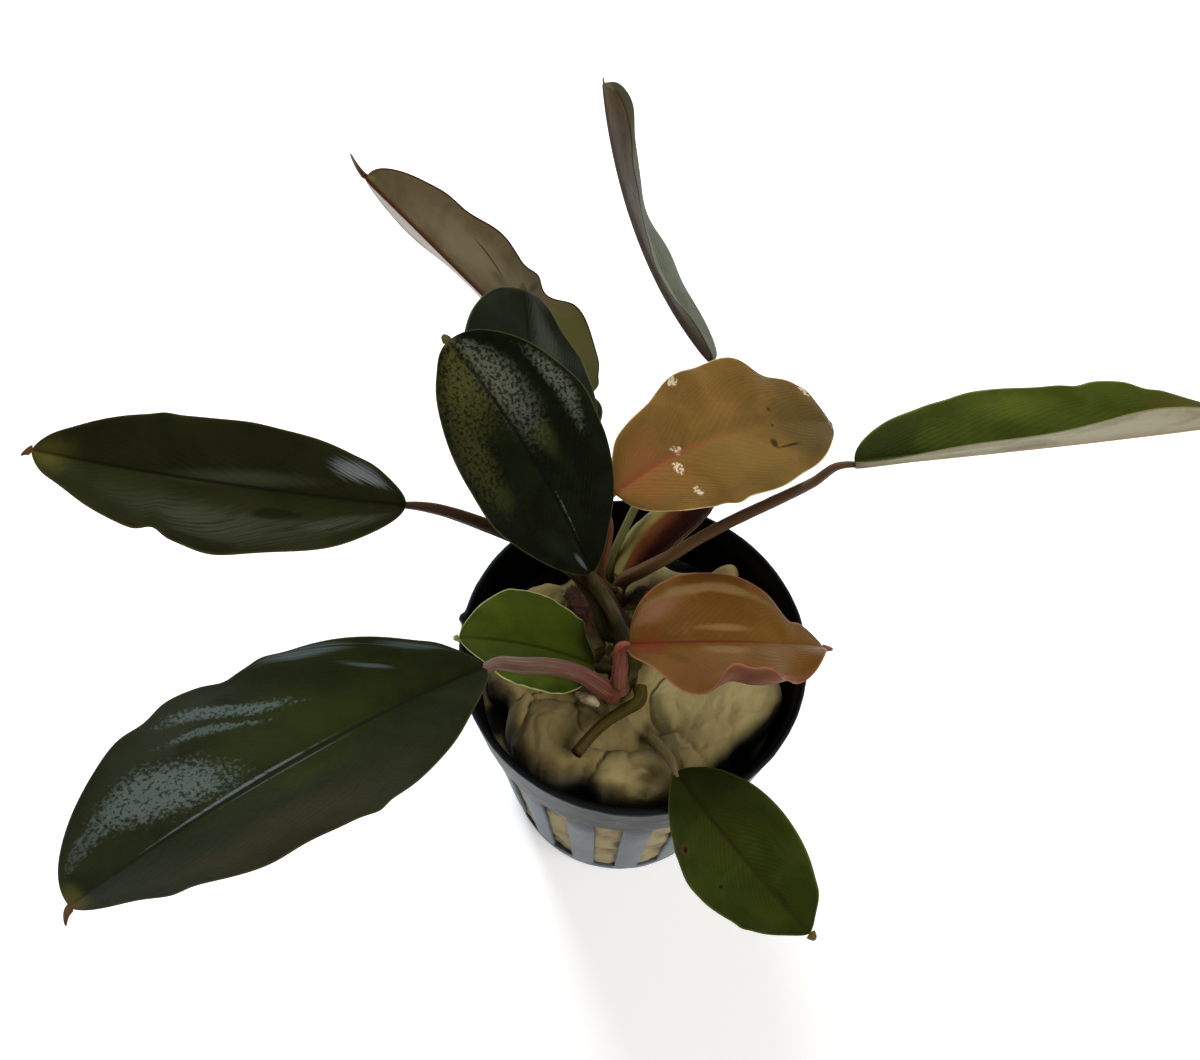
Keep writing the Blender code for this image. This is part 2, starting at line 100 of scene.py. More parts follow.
class Noise:
    """Smooth seeded noise: random values at whole-number points, blended by smooth steps."""

    def __init__(self, seed: int) -> None:
        """Fill the table of random values.

        Args:
            seed: Which of the repeatable patterns to use.
        """
        self.table = np.random.default_rng(seed).random(8192) * 2 - 1

    def at(self, points: np.ndarray) -> np.ndarray:
        """Noise from -1 to 1: at each point the eight lattice values round it are blended.

        Args:
            points: Array whose last axis is X, Y, Z, in lattice steps.

        Returns:
            One value for each point.
        """
        cell = np.floor(points).astype(np.int64)
        part = points - cell
        ease = part * part * (3 - 2 * part)
        total = np.zeros(points.shape[:-1])
        for corner in range(8):
            bits = np.array([corner & 1, corner >> 1 & 1, corner >> 2 & 1])
            key = cell + bits
            spot = (key[..., 0] * 73856093 ^ key[..., 1] * 19349663 ^ key[..., 2] * 83492791) % 8192
            weight = np.prod(np.where(bits == 1, ease, 1 - ease), axis=-1)
            total += self.table[spot] * weight
        return total

    def layered(self, points: np.ndarray, layers: int = 4) -> np.ndarray:
        """Several layers of noise, each twice as fine and half as strong as the last.

        Args:
            points: Array whose last axis is X, Y, Z, in lattice steps.
            layers: How many layers are summed.

        Returns:
            One value for each point.
        """
        return sum(self.at(points * 2 ** k + 17.3 * k) / 2 ** k for k in range(layers))


def smooth_step(value: np.ndarray, low: float, high: float) -> np.ndarray:
    """0 below low, 1 above high, and an even S-curve 3t^2 - 2t^3 between them.

    Args:
        value: What is measured.
        low: Where the step starts.
        high: Where the step ends.

    Returns:
        The share of the step that is done.
    """
    share = np.clip((value - low) / (high - low), 0, 1)
    return share * share * (3 - 2 * share)


def make_mesh(name: str, points: np.ndarray, faces: list[np.ndarray],
              values: dict[str, np.ndarray]) -> bpy.types.Object:
    """Put points and faces into a new smooth mesh object at the origin.

    The faces turn outward: the volume is the sum of the signed tetrahedra from the middle to each
    face, and where it is negative every face is reversed.

    Args:
        name: The piece's name.
        points: Vertices in millimetres, one row each.
        faces: Arrays of vertex numbers, each array with one face size.
        values: Named numbers, one for each vertex, that the finishes read.

    Returns:
        The new object.
    """
    middle = points.mean(0)
    volume = 0.0
    for group in faces:
        corners = points[group] - middle
        for k in range(1, group.shape[1] - 1):
            volume += float(np.einsum("ij,ij->", corners[:, 0], np.cross(corners[:, k], corners[:, k + 1])))
    if volume < 0:
        faces = [group[:, ::-1] for group in faces]
    mesh = bpy.data.meshes.new(name)
    mesh.vertices.add(len(points))
    mesh.vertices.foreach_set("co", (points * MM).astype(np.float32).ravel())
    loops = np.concatenate([group.ravel() for group in faces])
    sizes = np.concatenate([np.full(len(group), group.shape[1]) for group in faces])
    mesh.loops.add(len(loops))
    mesh.loops.foreach_set("vertex_index", loops.astype(np.int32))
    mesh.polygons.add(len(sizes))
    mesh.polygons.foreach_set("loop_start", np.concatenate([[0], np.cumsum(sizes)[:-1]]).astype(np.int32))
    mesh.polygons.foreach_set("use_smooth", np.ones(len(sizes), bool))
    mesh.update(calc_edges=True)
    for label, numbers in values.items():
        layer = mesh.attributes.new(label, "FLOAT", "POINT")
        layer.data.foreach_set("value", numbers.astype(np.float32).ravel())
    item = bpy.data.objects.new(name, mesh)
    bpy.context.collection.objects.link(item)
    return item


def grid_faces(rows: int, columns: int, wrap: bool, first: int = 0) -> np.ndarray:
    """Four-sided faces of a grid of vertices, row by row, joined round if it wraps.

    Args:
        rows: Rows of vertices.
        columns: Vertices in a row.
        wrap: Whether the last column joins the first.
        first: Number of the grid's first vertex.

    Returns:
        One row of four vertex numbers for each face.
    """
    i = np.arange(rows - 1)[:, None]
    j = np.arange(columns if wrap else columns - 1)[None]
    k = (j + 1) % columns
    corners = [i * columns + j, i * columns + k, (i + 1) * columns + k, (i + 1) * columns + j]
    return np.stack(np.broadcast_arrays(*corners), -1).reshape(-1, 4) + first


def make_sleeve(name: str, grid: np.ndarray, values: dict[str, np.ndarray]) -> bpy.types.Object:
    """A closed skin from rings of points, with a fan of triangles over each end.

    Args:
        name: The piece's name.
        grid: Rings by points by X, Y, Z, in millimetres.
        values: Named numbers, rings by points.

    Returns:
        The new object.
    """
    rows, columns = grid.shape[:2]
    points = np.concatenate([grid.reshape(-1, 3), grid[0].mean(0)[None], grid[-1].mean(0)[None]])
    j = np.arange(columns)
    k = (j + 1) % columns
    last = (rows - 1) * columns
    start = np.stack([np.full(columns, rows * columns), k, j], -1)
    end = np.stack([np.full(columns, rows * columns + 1), last + j, last + k], -1)
    numbers = {label: np.concatenate([value.ravel(), [value[0].mean()], [value[-1].mean()]])
               for label, value in values.items()}
    return make_mesh(name, points, [grid_faces(rows, columns, True), np.concatenate([start, end])], numbers)


def smooth_path(points: list[Vector], count: int) -> tuple[np.ndarray, np.ndarray]:
    """Even steps along the cubic curve through the points, whose slopes are central differences.

    Args:
        points: The points that the curve passes.
        count: How many steps are wanted.

    Returns:
        The places along the curve, and the share of its length run at each.
    """
    knots = np.asarray(points, float)
    run = np.concatenate([[0], np.cumsum(np.linalg.norm(np.diff(knots, axis=0), axis=1))])
    slope = np.gradient(knots, run, axis=0)
    at = np.linspace(0, run[-1], count)
    seg = np.clip(np.searchsorted(run, at, side="right") - 1, 0, len(run) - 2)
    size = (run[seg + 1] - run[seg])[:, None]
    t = (at - run[seg])[:, None] / size
    curve = ((2 * t ** 3 - 3 * t ** 2 + 1) * knots[seg] + (t ** 3 - 2 * t ** 2 + t) * size * slope[seg]
             + (3 * t ** 2 - 2 * t ** 3) * knots[seg + 1] + (t ** 3 - t ** 2) * size * slope[seg + 1])
    return curve, at / run[-1]


def path_axes(path: np.ndarray) -> tuple[np.ndarray, np.ndarray]:
    """Sideways and upward axes along a path: sideways is as level as the path allows.

    Args:
        path: Points in order.

    Returns:
        The sideways axis and the upward axis at each point.
    """
    along = np.gradient(path, axis=0)
    along /= np.linalg.norm(along, axis=1)[:, None]
    chord = path[-1] - path[0]
    level = np.cross(chord, (0, 0, 1.0))
    if np.linalg.norm(level) < 0.1 * np.linalg.norm(chord):
        level = np.array((1.0, 0, 0))
    up = np.cross(level / np.linalg.norm(level), along)
    up /= np.linalg.norm(up, axis=1)[:, None]
    return np.cross(along, up), up


def spokes(angle: np.ndarray, sideways: np.ndarray, up: np.ndarray, flat: float = 1.0) -> np.ndarray:
    """Directions round a path: cosine of the angle sideways plus its sine, flattened, upward.

    Args:
        angle: Angles round the path.
        sideways: Sideways axis at each ring.
        up: Upward axis at each ring.
        flat: Height of the ring for its width.

    Returns:
        Rings by angles by X, Y, Z.
    """
    return (np.cos(angle)[None, :, None] * sideways[:, None]
            + flat * np.sin(angle)[None, :, None] * up[:, None])


class Link:
    """A shader socket, or the result of a sum, that ordinary operators can be used on."""

    def __init__(self, shade: "Shade", socket: bpy.types.NodeSocket) -> None:
        """Wrap one output socket of one material."""
        self.shade = shade
        self.socket = socket

    def __add__(self, other: "Link | float") -> "Link":
        """Sum."""
        return self.shade.math("ADD", self, other)

    def __radd__(self, other: float) -> "Link":
        """Sum with a number first."""
        return self.shade.math("ADD", other, self)

    def __sub__(self, other: "Link | float") -> "Link":
        """Difference."""
        return self.shade.math("SUBTRACT", self, other)

    def __rsub__(self, other: float) -> "Link":
        """Difference from a number."""
        return self.shade.math("SUBTRACT", other, self)

    def __mul__(self, other: "Link | float") -> "Link":
        """Product."""
        return self.shade.math("MULTIPLY", self, other)

    def __rmul__(self, other: float) -> "Link":
        """Product with a number first."""
        return self.shade.math("MULTIPLY", other, self)

    def __truediv__(self, other: "Link | float") -> "Link":
        """Quotient."""
        return self.shade.math("DIVIDE", self, other)

    def __pow__(self, other: float) -> "Link":
        """Power."""
        return self.shade.math("POWER", self, other)


class Shade:
    """One material's node tree, built by expressions on Link values."""

    def __init__(self, name: str) -> None:
        """Start a material with a bare Principled surface.

        Args:
            name: The material's name.
        """
        self.material = bpy.data.materials.new(name)
        self.material.use_nodes = True
        self.tree = self.material.node_tree
        self.surface = self.tree.nodes["Principled BSDF"]

    def node(self, kind: str, settings: dict[str, object], inputs: dict[str | int, object],
             output: str | int = 0) -> Link:
        """Add one node: its settings first, then its sockets.

        Args:
            kind: The node's type.
            settings: Its own properties, such as operation.
            inputs: Values or Links for its sockets, by name or number.
            output: Which output is wanted.

        Returns:
            That output.
        """
        made = self.tree.nodes.new(kind)
        for label, value in settings.items():
            setattr(made, label, value)
        for label, value in inputs.items():
            if isinstance(value, Link):
                self.tree.links.new(value.socket, made.inputs[label])
            else:
                made.inputs[label].default_value = value
        return Link(self, made.outputs[output])

    def math(self, operation: str, first: "Link | float", second: "Link | float" = 0.0) -> Link:
        """One Math node on numbers."""
        return self.node("ShaderNodeMath", {"operation": operation}, {0: first, 1: second})

    def step(self, value: "Link | float", low: float, high: float) -> Link:
        """0 at low, 1 at high and an S-curve between; low may be the larger."""
        return self.node("ShaderNodeMapRange", {"interpolation_type": "SMOOTHSTEP"},
                         {"Value": value, "From Min": low, "From Max": high, "To Min": 0.0, "To Max": 1.0})

    def mix(self, first: "Link | Colour", second: "Link | Colour", factor: "Link | float") -> Link:
        """Blend two colours, the second by factor."""
        sides = [value if isinstance(value, Link) else (*value, 1.0) for value in (first, second)]
        return self.node("ShaderNodeMix", {"data_type": "RGBA"}, {0: factor, 6: sides[0], 7: sides[1]}, 2)

    def coats(self, base: "Link | Colour", *coats: "tuple[Link | Colour, Link | float]") -> Link:
        """Blend colours over a base, one after another.

        Args:
            base: The lowest colour.
            *coats: Each next colour and its share.

        Returns:
            The colour on top.
        """
        for colour, share in coats:
            base = self.mix(base, colour, share)
        return base

    def value(self, label: str) -> Link:
        """A named number that the mesh carries at each vertex."""
        return self.node("ShaderNodeAttribute", {"attribute_name": label}, {}, "Fac")

    def place(self) -> Link:
        """The point's own place, in metres, in the frame that all pieces share."""
        return self.node("ShaderNodeTexCoord", {}, {}, "Object")

    def noise(self, scale: float, detail: float = 3.0, vector: Link | None = None,
              warp: float = 0.0, rough: float = 0.55) -> Link:
        """Cloudy noise about 0.5, with scale in repeats a metre.

        Args:
            scale: How many features fit in a metre.
            detail: Layers of finer noise.
            vector: Where it is read; the point's place by default.
            warp: How much it is distorted.
            rough: Strength of the finer layers.

        Returns:
            The noise value.
        """
        return self.node("ShaderNodeTexNoise", {}, {"Vector": vector or self.place(), "Scale": scale,
                                                    "Detail": detail, "Distortion": warp,
                                                    "Roughness": rough}, "Fac")

    def vector(self, x: "Link | float", y: "Link | float", z: "Link | float" = 0.0) -> Link:
        """Three numbers joined as one vector."""
        return self.node("ShaderNodeCombineXYZ", {}, {"X": x, "Y": y, "Z": z})

    def bump(self, height: Link, distance: float, strength: float = 1.0) -> Link:
        """A normal from a height.

        Args:
            height: Height, 0 to 1.
            distance: Height of 1, in millimetres.
            strength: Share of the effect.

        Returns:
            The normal.
        """
        return self.node("ShaderNodeBump", {}, {"Height": height, "Distance": distance * MM,
                                                "Strength": strength}, "Normal")

    def dress(self, base: "Link | Colour", roughness: "Link | float", normal: Link | None = None,
              **constants: float | tuple[float, ...]) -> bpy.types.Material:
        """Join the results to the Principled surface.

        Args:
            base: Base colour.
            roughness: Roughness.
            normal: Normal, if it is changed.
            **constants: Plain values of other sockets, with _ for a space.

        Returns:
            The material.
        """
        parts = {"Base Color": base if isinstance(base, Link) else (*base, 1.0), "Roughness": roughness}
        if normal is not None:
            parts["Normal"] = normal
        for label, value in parts.items():
            if isinstance(value, Link):
                self.tree.links.new(value.socket, self.surface.inputs[label])
            else:
                self.surface.inputs[label].default_value = value
        for label, value in constants.items():
            self.surface.inputs[label.replace("_", " ")].default_value = value
        return self.material


def settle(piece: bpy.types.Object, material: bpy.types.Material, node: str | None) -> None:
    """Give a piece its finish and its place in the frame.

    Args:
        piece: The finished object.
        material: Its material.
        node: The CAD node that it stands for, if any.
    """
    piece.data.materials.append(material)
    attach(piece, "root")
    if node:
        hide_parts(node)
    LOG.info("%s: %d faces", piece.name, len(piece.data.polygons))


class Grain(Enum):
    """How a patch breaks up: into streaks along the veins, into fine beads, or into soft clouds."""
    STREAK = 0
    BEAD = 1
    CLOUD = 2


@dataclass(frozen=True)
class Patch:
    """An oval of another colour on a leaf, placed by shares along and across the blade.

    It leans by so much across for each share along, its outline is ragged, and it can be broken
    by holes and be wet, which makes it glossier. Besides the leaf's own mottles, spots and tips,
    the pale grey and blue-grey patches are painted highlights and painted sheen.
    """
    along: float
    across: float
    long: float
    wide: float
    colour: Colour
    strength: float = 1.0
    soft: float = 0.6
    lean: float = 0.0
    ragged: float = 0.5
    holes: float = 0.0
    wet: float = 0.0
    grain: Grain = Grain.CLOUD
    face: Face = Face.UPPER

    def mask(self, shade: "Shade", along: Link, across: Link, grains: tuple[Link, ...]) -> Link:
        """Where the patch shows: the distance from its centre in its own radii, plus its grain.

        Args:
            shade: The material that it is part of.
            along: Share of the blade's length.
            across: Share of the blade's half width.
            grains: Noise for each of the three grains.

        Returns:
            Its share of the colour.
        """
        grain = grains[self.grain.value]
        run = along - self.along
        reach = shade.math("SQRT", (run / self.long) ** 2.0
                           + ((across - self.across - self.lean * run) / self.wide) ** 2.0)
        mask = shade.step(reach + self.ragged * 2.0 * (grain - 0.5), 1.0, 1.0 - self.soft) * self.strength
        if not self.holes:
            return mask
        open_from = HOLE_LEVEL - HOLE_SPREAD * self.holes
        return mask * (1.0 - HOLE_DEPTH * shade.step(grain, open_from, open_from + HOLE_EDGE))


@dataclass(frozen=True)
class LeafFinish:
    """Colours and gloss of one kind of blade.

    Midrib width, margin width and the two reliefs are millimetres, and the midrib's fade and the
    tip's reach are shares of the length. Pebble is the relief of the fine beads.
    """
    upper: Colour
    upper_cloud: Colour
    under: Colour
    under_cloud: Colour
    vein: Colour
    midrib: Colour
    under_midrib: Colour
    margin: Colour
    tip: Colour
    gloss: float = 0.3
    vein_show: float = 0.3
    vein_count: float = 26.0
    midrib_width: float = 0.45
    midrib_fade: float = 1.0
    margin_width: float = 0.35
    tip_reach: float = 0.03
    pebble: float = 0.05
    vein_relief: float = 0.05
    streaks: float = 0.1
    patches: tuple[Patch, ...] = ()

    def lane(self, along: "np.ndarray | Link", away: "np.ndarray | Link") -> "np.ndarray | Link":
        """Which vein a place lies on: (along - 0.35 away - 0.3 away^4) times the count.

        Veins are where this is whole: they leave the midrib at a slant and bend along the margin.

        Args:
            along: Share of the blade's length.
            away: Share of the half width, without a sign.

        Returns:
            The number of the vein.
        """
        return (along - away * 0.35 - away ** 4.0 * 0.3) * self.vein_count

    def material(self, name: str) -> bpy.types.Material:
        """Blade finish: clouded colour, oblique veins, midrib, pale or red margin and tip.

        Streaks run with the veins, and wet patches are smoother than the rest. The patches hold the
        leaf's own mottles and spots, and also painted highlights and painted sheen.

        Args:
            name: The material's name.

        Returns:
            The material.
        """
        shade = Shade(name)
        along, across, upper = shade.value("along"), shade.value("across"), shade.value("upper")
        offset, edge = shade.value("offset"), shade.value("edge")
        away = shade.math("ABSOLUTE", across)
        cloud = shade.step(shade.noise(160, 4, warp=0.6), 0.38, 0.64)
        face = shade.mix(self.upper, self.upper_cloud, cloud)
        back = shade.mix(self.under, self.under_cloud, cloud)
        place = shade.place()
        lane = self.lane(along + 0.012 * (shade.noise(220, 2) - 0.5), away)
        line = shade.math("COSINE", lane * TURN) * 0.5 + 0.5
        fine = shade.math("COSINE", lane * (TURN * 4)) * 0.5 + 0.5
        shown = line ** VEIN_SHARPNESS * shade.step(away, 1.0, 0.75)
        face = shade.mix(face, self.vein, self.vein_show * (0.6 * shown + 0.4 * fine ** 2.0))
        back = shade.mix(back, self.under_midrib, self.vein_show * 0.6 * shown)
        grains = (shade.noise(1.0, 4, shade.vector(lane * 1.6, across * 4.0), rough=0.6),
                  shade.noise(2100, 2, place, rough=0.6), shade.noise(260, 4, place))
        gloss = self.gloss + self.streaks * (grains[0] - 0.5) + 0.12 * (1 - upper)
        # patches: the leaf's own mottles and spots, and also painted highlights and painted sheen
        for patch in self.patches:
            mask = patch.mask(shade, along, across, grains)
            if patch.face is Face.UPPER:
                face = shade.mix(face, patch.colour, mask)
                gloss = gloss - mask * patch.wet if patch.wet else gloss
            else:
                back = shade.mix(back, patch.colour, mask)
        width = self.midrib_width
        ridge = shade.step(offset, width, width * 0.25) * shade.step(along, self.midrib_fade + 0.15,
                                                                      self.midrib_fade - 0.25)
        face = shade.mix(face, self.midrib, ridge * 0.85)
        back = shade.mix(back, self.under_midrib, shade.step(offset, width * 1.6, width * 0.5))
        rim = shade.step(edge + 0.2 * (shade.noise(500, 2) - 0.5), self.margin_width,
                         self.margin_width * 0.2)
        colour = shade.coats(back, (face, upper), (self.margin, rim),
                             (self.tip, shade.step(along, 1.0 - self.tip_reach, 1.0)))
        rough = gloss + 0.12 * (shade.noise(900, 3, place) - 0.5)
        height = (self.vein_relief * (line * 0.6 + fine * 0.4) * shade.step(away, 1.0, 0.8)
                  + self.pebble * grains[1] + 0.15 * self.pebble * shade.noise(4200, 1, place))
        return shade.dress(colour, rough, shade.bump(height, 1.0, 0.8), IOR=1.16)


Bells = tuple[tuple[float, float, float], ...]


@dataclass(frozen=True)
class Margin:
    """One half of a blade: how it folds up from the midrib and how its edge waves.

    Swells are shares by which the edge stands further out or in, curls are degrees by which
    the half bends further, and hems are degrees by which only its border does. Each is a place
    from the base, a size and a reach along the blade.
    """
    fold: float
    ripple: float
    phase: float
    wave: float
    waves: int = 2
    swells: Bells = ()
    curls: Bells = ()
    hems: Bells = ()

    def bells(self, s: np.ndarray, chosen: Bells) -> np.ndarray:
        """Sum of bell curves: size times e to the minus square of (s - place) / reach.

        Args:
            s: Shares of the length.
            chosen: The swells, the curls or the hems.

        Returns:
            The sum at each share.
        """
        return sum((size * np.exp(-((s - place) / reach) ** 2) for place, size, reach in chosen), 0 * s)


@dataclass(frozen=True)
class Leaf:
    """A leaf blade.

    The midrib starts at base. Its heading is turned from +X and its rise is above the level, both
    at half its length; sway and droop are how far they change from end to end. Roll turns the
    blade about the midrib and twist is the roll's change. The outline is widest at a share of the
    length and blunter towards each end as its roundness falls. The point is that long, and hook
    says where its end bends to. Groove and keel are a depth and a reach each, and the thickness
    falls towards the edge within the border.
    """
    name: str
    base: Vector
    heading: float
    rise: float
    length: float
    width: float
    droop: float
    sway: float
    roll: float
    twist: float
    widest: float
    base_round: float
    tip_round: float
    left: Margin
    right: Margin
    finish: LeafFinish
    point: float = 1.0
    hook: Vector = (0.0, 0.0, 0.0)
    thickness: float = 0.42
    thin_edge: float = 0.05
    border: float = 0.6
    point_width: tuple[float, float] = (0.64, 0.12)
    groove: tuple[float, float] = (0.16, 0.55)
    keel: tuple[float, float] = (0.75, 0.3)
    rows: int = 150
    columns: int = 34
    point_rows: int = 12

    def midrib(self, s: np.ndarray) -> tuple[np.ndarray, np.ndarray, np.ndarray, np.ndarray]:
        """Middle line and its axes: heading and pitch change evenly, and their ray is summed.

        Args:
            s: Shares of the length.

        Returns:
            Points, and the axes along, to the left and up out of the blade.
        """
        def ray(share: np.ndarray) -> np.ndarray:
            """Unit direction of the midrib at a share of its length."""
            course = np.radians(self.heading + self.sway * (share - 0.5))
            slope = np.radians(self.rise - self.droop * (share - 0.5))
            return np.stack([np.cos(course) * np.cos(slope), np.sin(course) * np.cos(slope),
                             np.sin(slope)], -1)

        course = np.radians(self.heading + self.sway * (s - 0.5))
        level = np.stack([-np.sin(course), np.cos(course), 0 * course], -1)
        along = ray(s)
        upright = np.cross(along, level)
        turn = np.radians(self.roll + self.twist * (s - 0.5))[:, None]
        fine = np.linspace(0, 1, 201)
        steps = (ray(fine)[1:] + ray(fine)[:-1]) / 2 * np.diff(fine)[:, None] * self.length
        path = np.array(self.base) + np.concatenate([[[0, 0, 0]], np.cumsum(steps, 0)])
        middle = np.stack([np.interp(s, fine, path[:, k]) for k in range(3)], -1)
        return (middle, along, level * np.cos(turn) + upright * np.sin(turn),
                -level * np.sin(turn) + upright * np.cos(turn))

    def half_width(self, s: np.ndarray) -> np.ndarray:
        """Half the width: the sine of a warped share of the length, to a power that blunts it."""
        power = np.log(0.5) / np.log(self.widest)
        round_off = self.base_round + (self.tip_round - self.base_round) * s
        return self.width / 2 * np.maximum(np.sin(np.pi * s ** power), 0) ** round_off

    def half(self, s: np.ndarray, v: np.ndarray, side: Side) -> tuple[np.ndarray, np.ndarray]:
        """One half of the middle surface: the cross-section's slope is summed outward.

        The slope at v is the fold plus a wave that grows with v squared, curls that grow with v
        and hems that grow with its fourth power. The reach has a ripple of the wave's period and
        its own swells.

        Args:
            s: Shares of the length, one for each row.
            v: Shares of the half width, one for each column.
            side: Which half.

        Returns:
            Points, rows by columns, and the reach of each row.
        """
        middle, _, sideways, up = self.midrib(s)
        margin = self.left if side is Side.LEFT else self.right
        turn = 2 * np.pi * margin.waves * s + np.radians(margin.phase)
        fade = np.sin(np.pi * np.clip(s, 0, 1)) ** 0.5
        reach = self.half_width(s) * (1 + margin.ripple * np.sin(turn) * fade
                                      + margin.bells(s, margin.swells))
        fine = np.linspace(0, 1, SECTION_STEPS + 1)
        lift = np.radians(margin.fold + (margin.wave * np.sin(turn - 0.9) * fade)[:, None]
                          * fine[None] ** 2 + margin.bells(s, margin.curls)[:, None] * fine[None]
                          + margin.bells(s, margin.hems)[:, None] * fine[None] ** 4)
        spot = np.clip(v * SECTION_STEPS, 0, SECTION_STEPS - 0.001)
        low = spot.astype(int)
        part = (spot - low)[None]

        def summed(rate: np.ndarray) -> np.ndarray:
            """A rate summed outward by trapezoids, read at the wanted shares."""
            run = np.cumsum((rate[:, 1:] + rate[:, :-1]) / (2 * SECTION_STEPS), 1)
            run = np.concatenate([np.zeros((len(s), 1)), run], 1)
            return run[:, low] * (1 - part) + run[:, low + 1] * part

        out, high = summed(np.cos(lift)), summed(np.sin(lift))
        outward = side.value * out[..., None] * sideways[:, None]
        points = middle[:, None] + reach[:, None, None] * (outward + high[..., None] * up[:, None])
        return points, reach

    def tip(self, share: np.ndarray, v: np.ndarray, side: Side) -> tuple[np.ndarray, np.ndarray]:
        """The blade's small point: it goes on from the midrib's end, bends by its hook and rounds off.

        Args:
            share: Shares of the point's length, one for each row.
            v: Shares of the half width.
            side: Which half.

        Returns:
            Points, rows by columns, and the reach of each row.
        """
        middle, along, sideways, _ = self.midrib(np.ones(len(share)))
        wide, end = self.point_width
        reach = wide * (1 - share) ** 0.5 + end
        path = middle + along * (share * self.point)[:, None] + np.array(self.hook) * share[:, None] ** 2
        out = side.value * (reach[:, None] * v[None])[..., None]
        return path[:, None] + out * sideways[:, None], reach

    def build(self) -> bpy.types.Object:
        """The blade as a closed thin shell of rings: over the upper side and back underneath.

        The upper side has a groove over the midrib and low pleats between the veins; the
        underside has the midrib as a keel. The thickness falls to a thin round edge.

        Returns:
            The blade.
        """
        s = 0.5 - 0.5 * np.cos(np.pi * np.linspace(0.02, 0.985, self.rows))
        v = np.sin(np.linspace(0, 1, self.columns) * np.pi / 2) ** 0.9
        share = np.linspace(0.12, 1, self.point_rows)
        halves = []
        for side in Side:
            body, reach = self.half(s, v, side)
            end, narrow = self.tip(share, v, side)
            halves.append((np.concatenate([body, end]), np.concatenate([reach, narrow])))
        (left, left_reach), (right, right_reach) = halves
        top = np.concatenate([left[:, :0:-1], right], 1)
        rows, columns = top.shape[:2]
        across = np.concatenate([-v[:0:-1], v])
        reach = np.where(across[None] < 0, left_reach[:, None], right_reach[:, None])
        along = np.concatenate([s * (1 - 0.5 * self.point / self.length),
                                1 - 0.5 * (1 - share) * self.point / self.length])
        normal = np.cross(np.gradient(top, axis=0), np.gradient(top, axis=1))
        normal /= np.maximum(np.linalg.norm(normal, axis=2)[..., None], 1e-9)
        _, _, _, up = self.midrib(np.append(s, np.ones(len(share))))
        normal *= np.sign((normal[:, columns // 2] * up).sum(1))[:, None, None]
        offset = np.abs(across)[None] * reach
        edge = reach - offset
        taper = np.clip(1 - along, 0, 1)[:, None] ** 0.5
        away = np.clip(np.abs(across), 0, 1)[None]
        lane = self.finish.lane(along[:, None], away)
        calm = np.sin(np.pi * away) * (1 - away) * np.sin(np.pi * np.clip(along, 0, 1))[:, None]
        pleat = self.finish.vein_relief * 0.6 * np.cos(2 * np.pi * lane) * calm
        (groove_depth, groove_reach), (keel_depth, keel_reach) = self.groove, self.keel
        groove = groove_depth * taper * np.exp(-(offset / groove_reach) ** 2)
        keel = keel_depth * taper * np.exp(-(offset / (keel_reach + 0.55 * taper)) ** 2)
        body = (self.thickness * np.clip(edge / self.border, 0, 1) ** 0.5 * np.minimum(1, 0.35 + edge / 4)
                + self.thin_edge)
        upper = top + normal * (body / 2 + pleat - groove)[..., None]
        lower = top - normal * (body / 2 - pleat * 0.6 + keel)[..., None]
        ring = np.concatenate([upper, lower[:, ::-1]], 1)
        both = np.concatenate([across, across[::-1]])[None] + 0 * along[:, None]
        values = {"across": both, "along": np.repeat(along[:, None], 2 * columns, 1),
                  "upper": np.repeat(np.repeat([1.0, 0.0], columns)[None], rows, 0),
                  "offset": np.concatenate([offset, offset[:, ::-1]], 1),
                  "edge": np.concatenate([edge, edge[:, ::-1]], 1)}
        return make_sleeve("blade_" + self.name, ring, values)

    def dress(self) -> None:
        """Build the blade and give it its finish and its place."""
        settle(self.build(), self.finish.material("blade_" + self.name), "leaf_" + self.name)


@dataclass(frozen=True)
class StalkFinish:
    """Colours of a stalk from foot to top, of the painted shade on its underside and of its fine stripes.
    """
    foot: Colour
    top: Colour
    shaded_underside: Colour
    stripe: Colour
    stripe_show: float = 0.4
    gloss: float = 0.38
    fleck: float = 0.0
    cut: Colour = (0.02, 0.01, 0.005)
    cut_from: float = 2.0

    def material(self, name: str) -> bpy.types.Material:
        """Lengthwise stripes: noise read in fine steps round the stalk and in long steps along it.

        Args:
            name: The material's name.

        Returns:
            The material.
        """
        shade = Shade(name)
        along, around = shade.value("along"), shade.value("around")
        turn = around * TURN
        ring = shade.vector(shade.math("COSINE", turn) * 2.2, shade.math("SINE", turn) * 2.2, along * 1.2)
        lines = shade.noise(3.0, 3, ring)
        cloud = shade.noise(420, 3)
        base = shade.coats(self.foot, (self.top, shade.step(along, 0.15, 0.8)),
                           # painted shade: the underside of the stalk is darkened
                           (self.shaded_underside, shade.step(shade.math("SINE", turn), 0.1, -0.7) * 0.8),
                           (self.stripe, shade.step(lines, 0.52, 0.68) * self.stripe_show),
                           (tint(35, 25, 14), shade.step(cloud, 0.6, 0.8) * (0.35 + self.fleck)),
                           (self.cut, shade.step(along, self.cut_from, self.cut_from + 0.01)))
        rough = self.gloss + 0.2 * (cloud - 0.5)
        height = lines * 0.5 + shade.noise(2200, 2) * 0.25
        return shade.dress(base, rough, shade.bump(height, 0.12, 0.8), IOR=1.3)


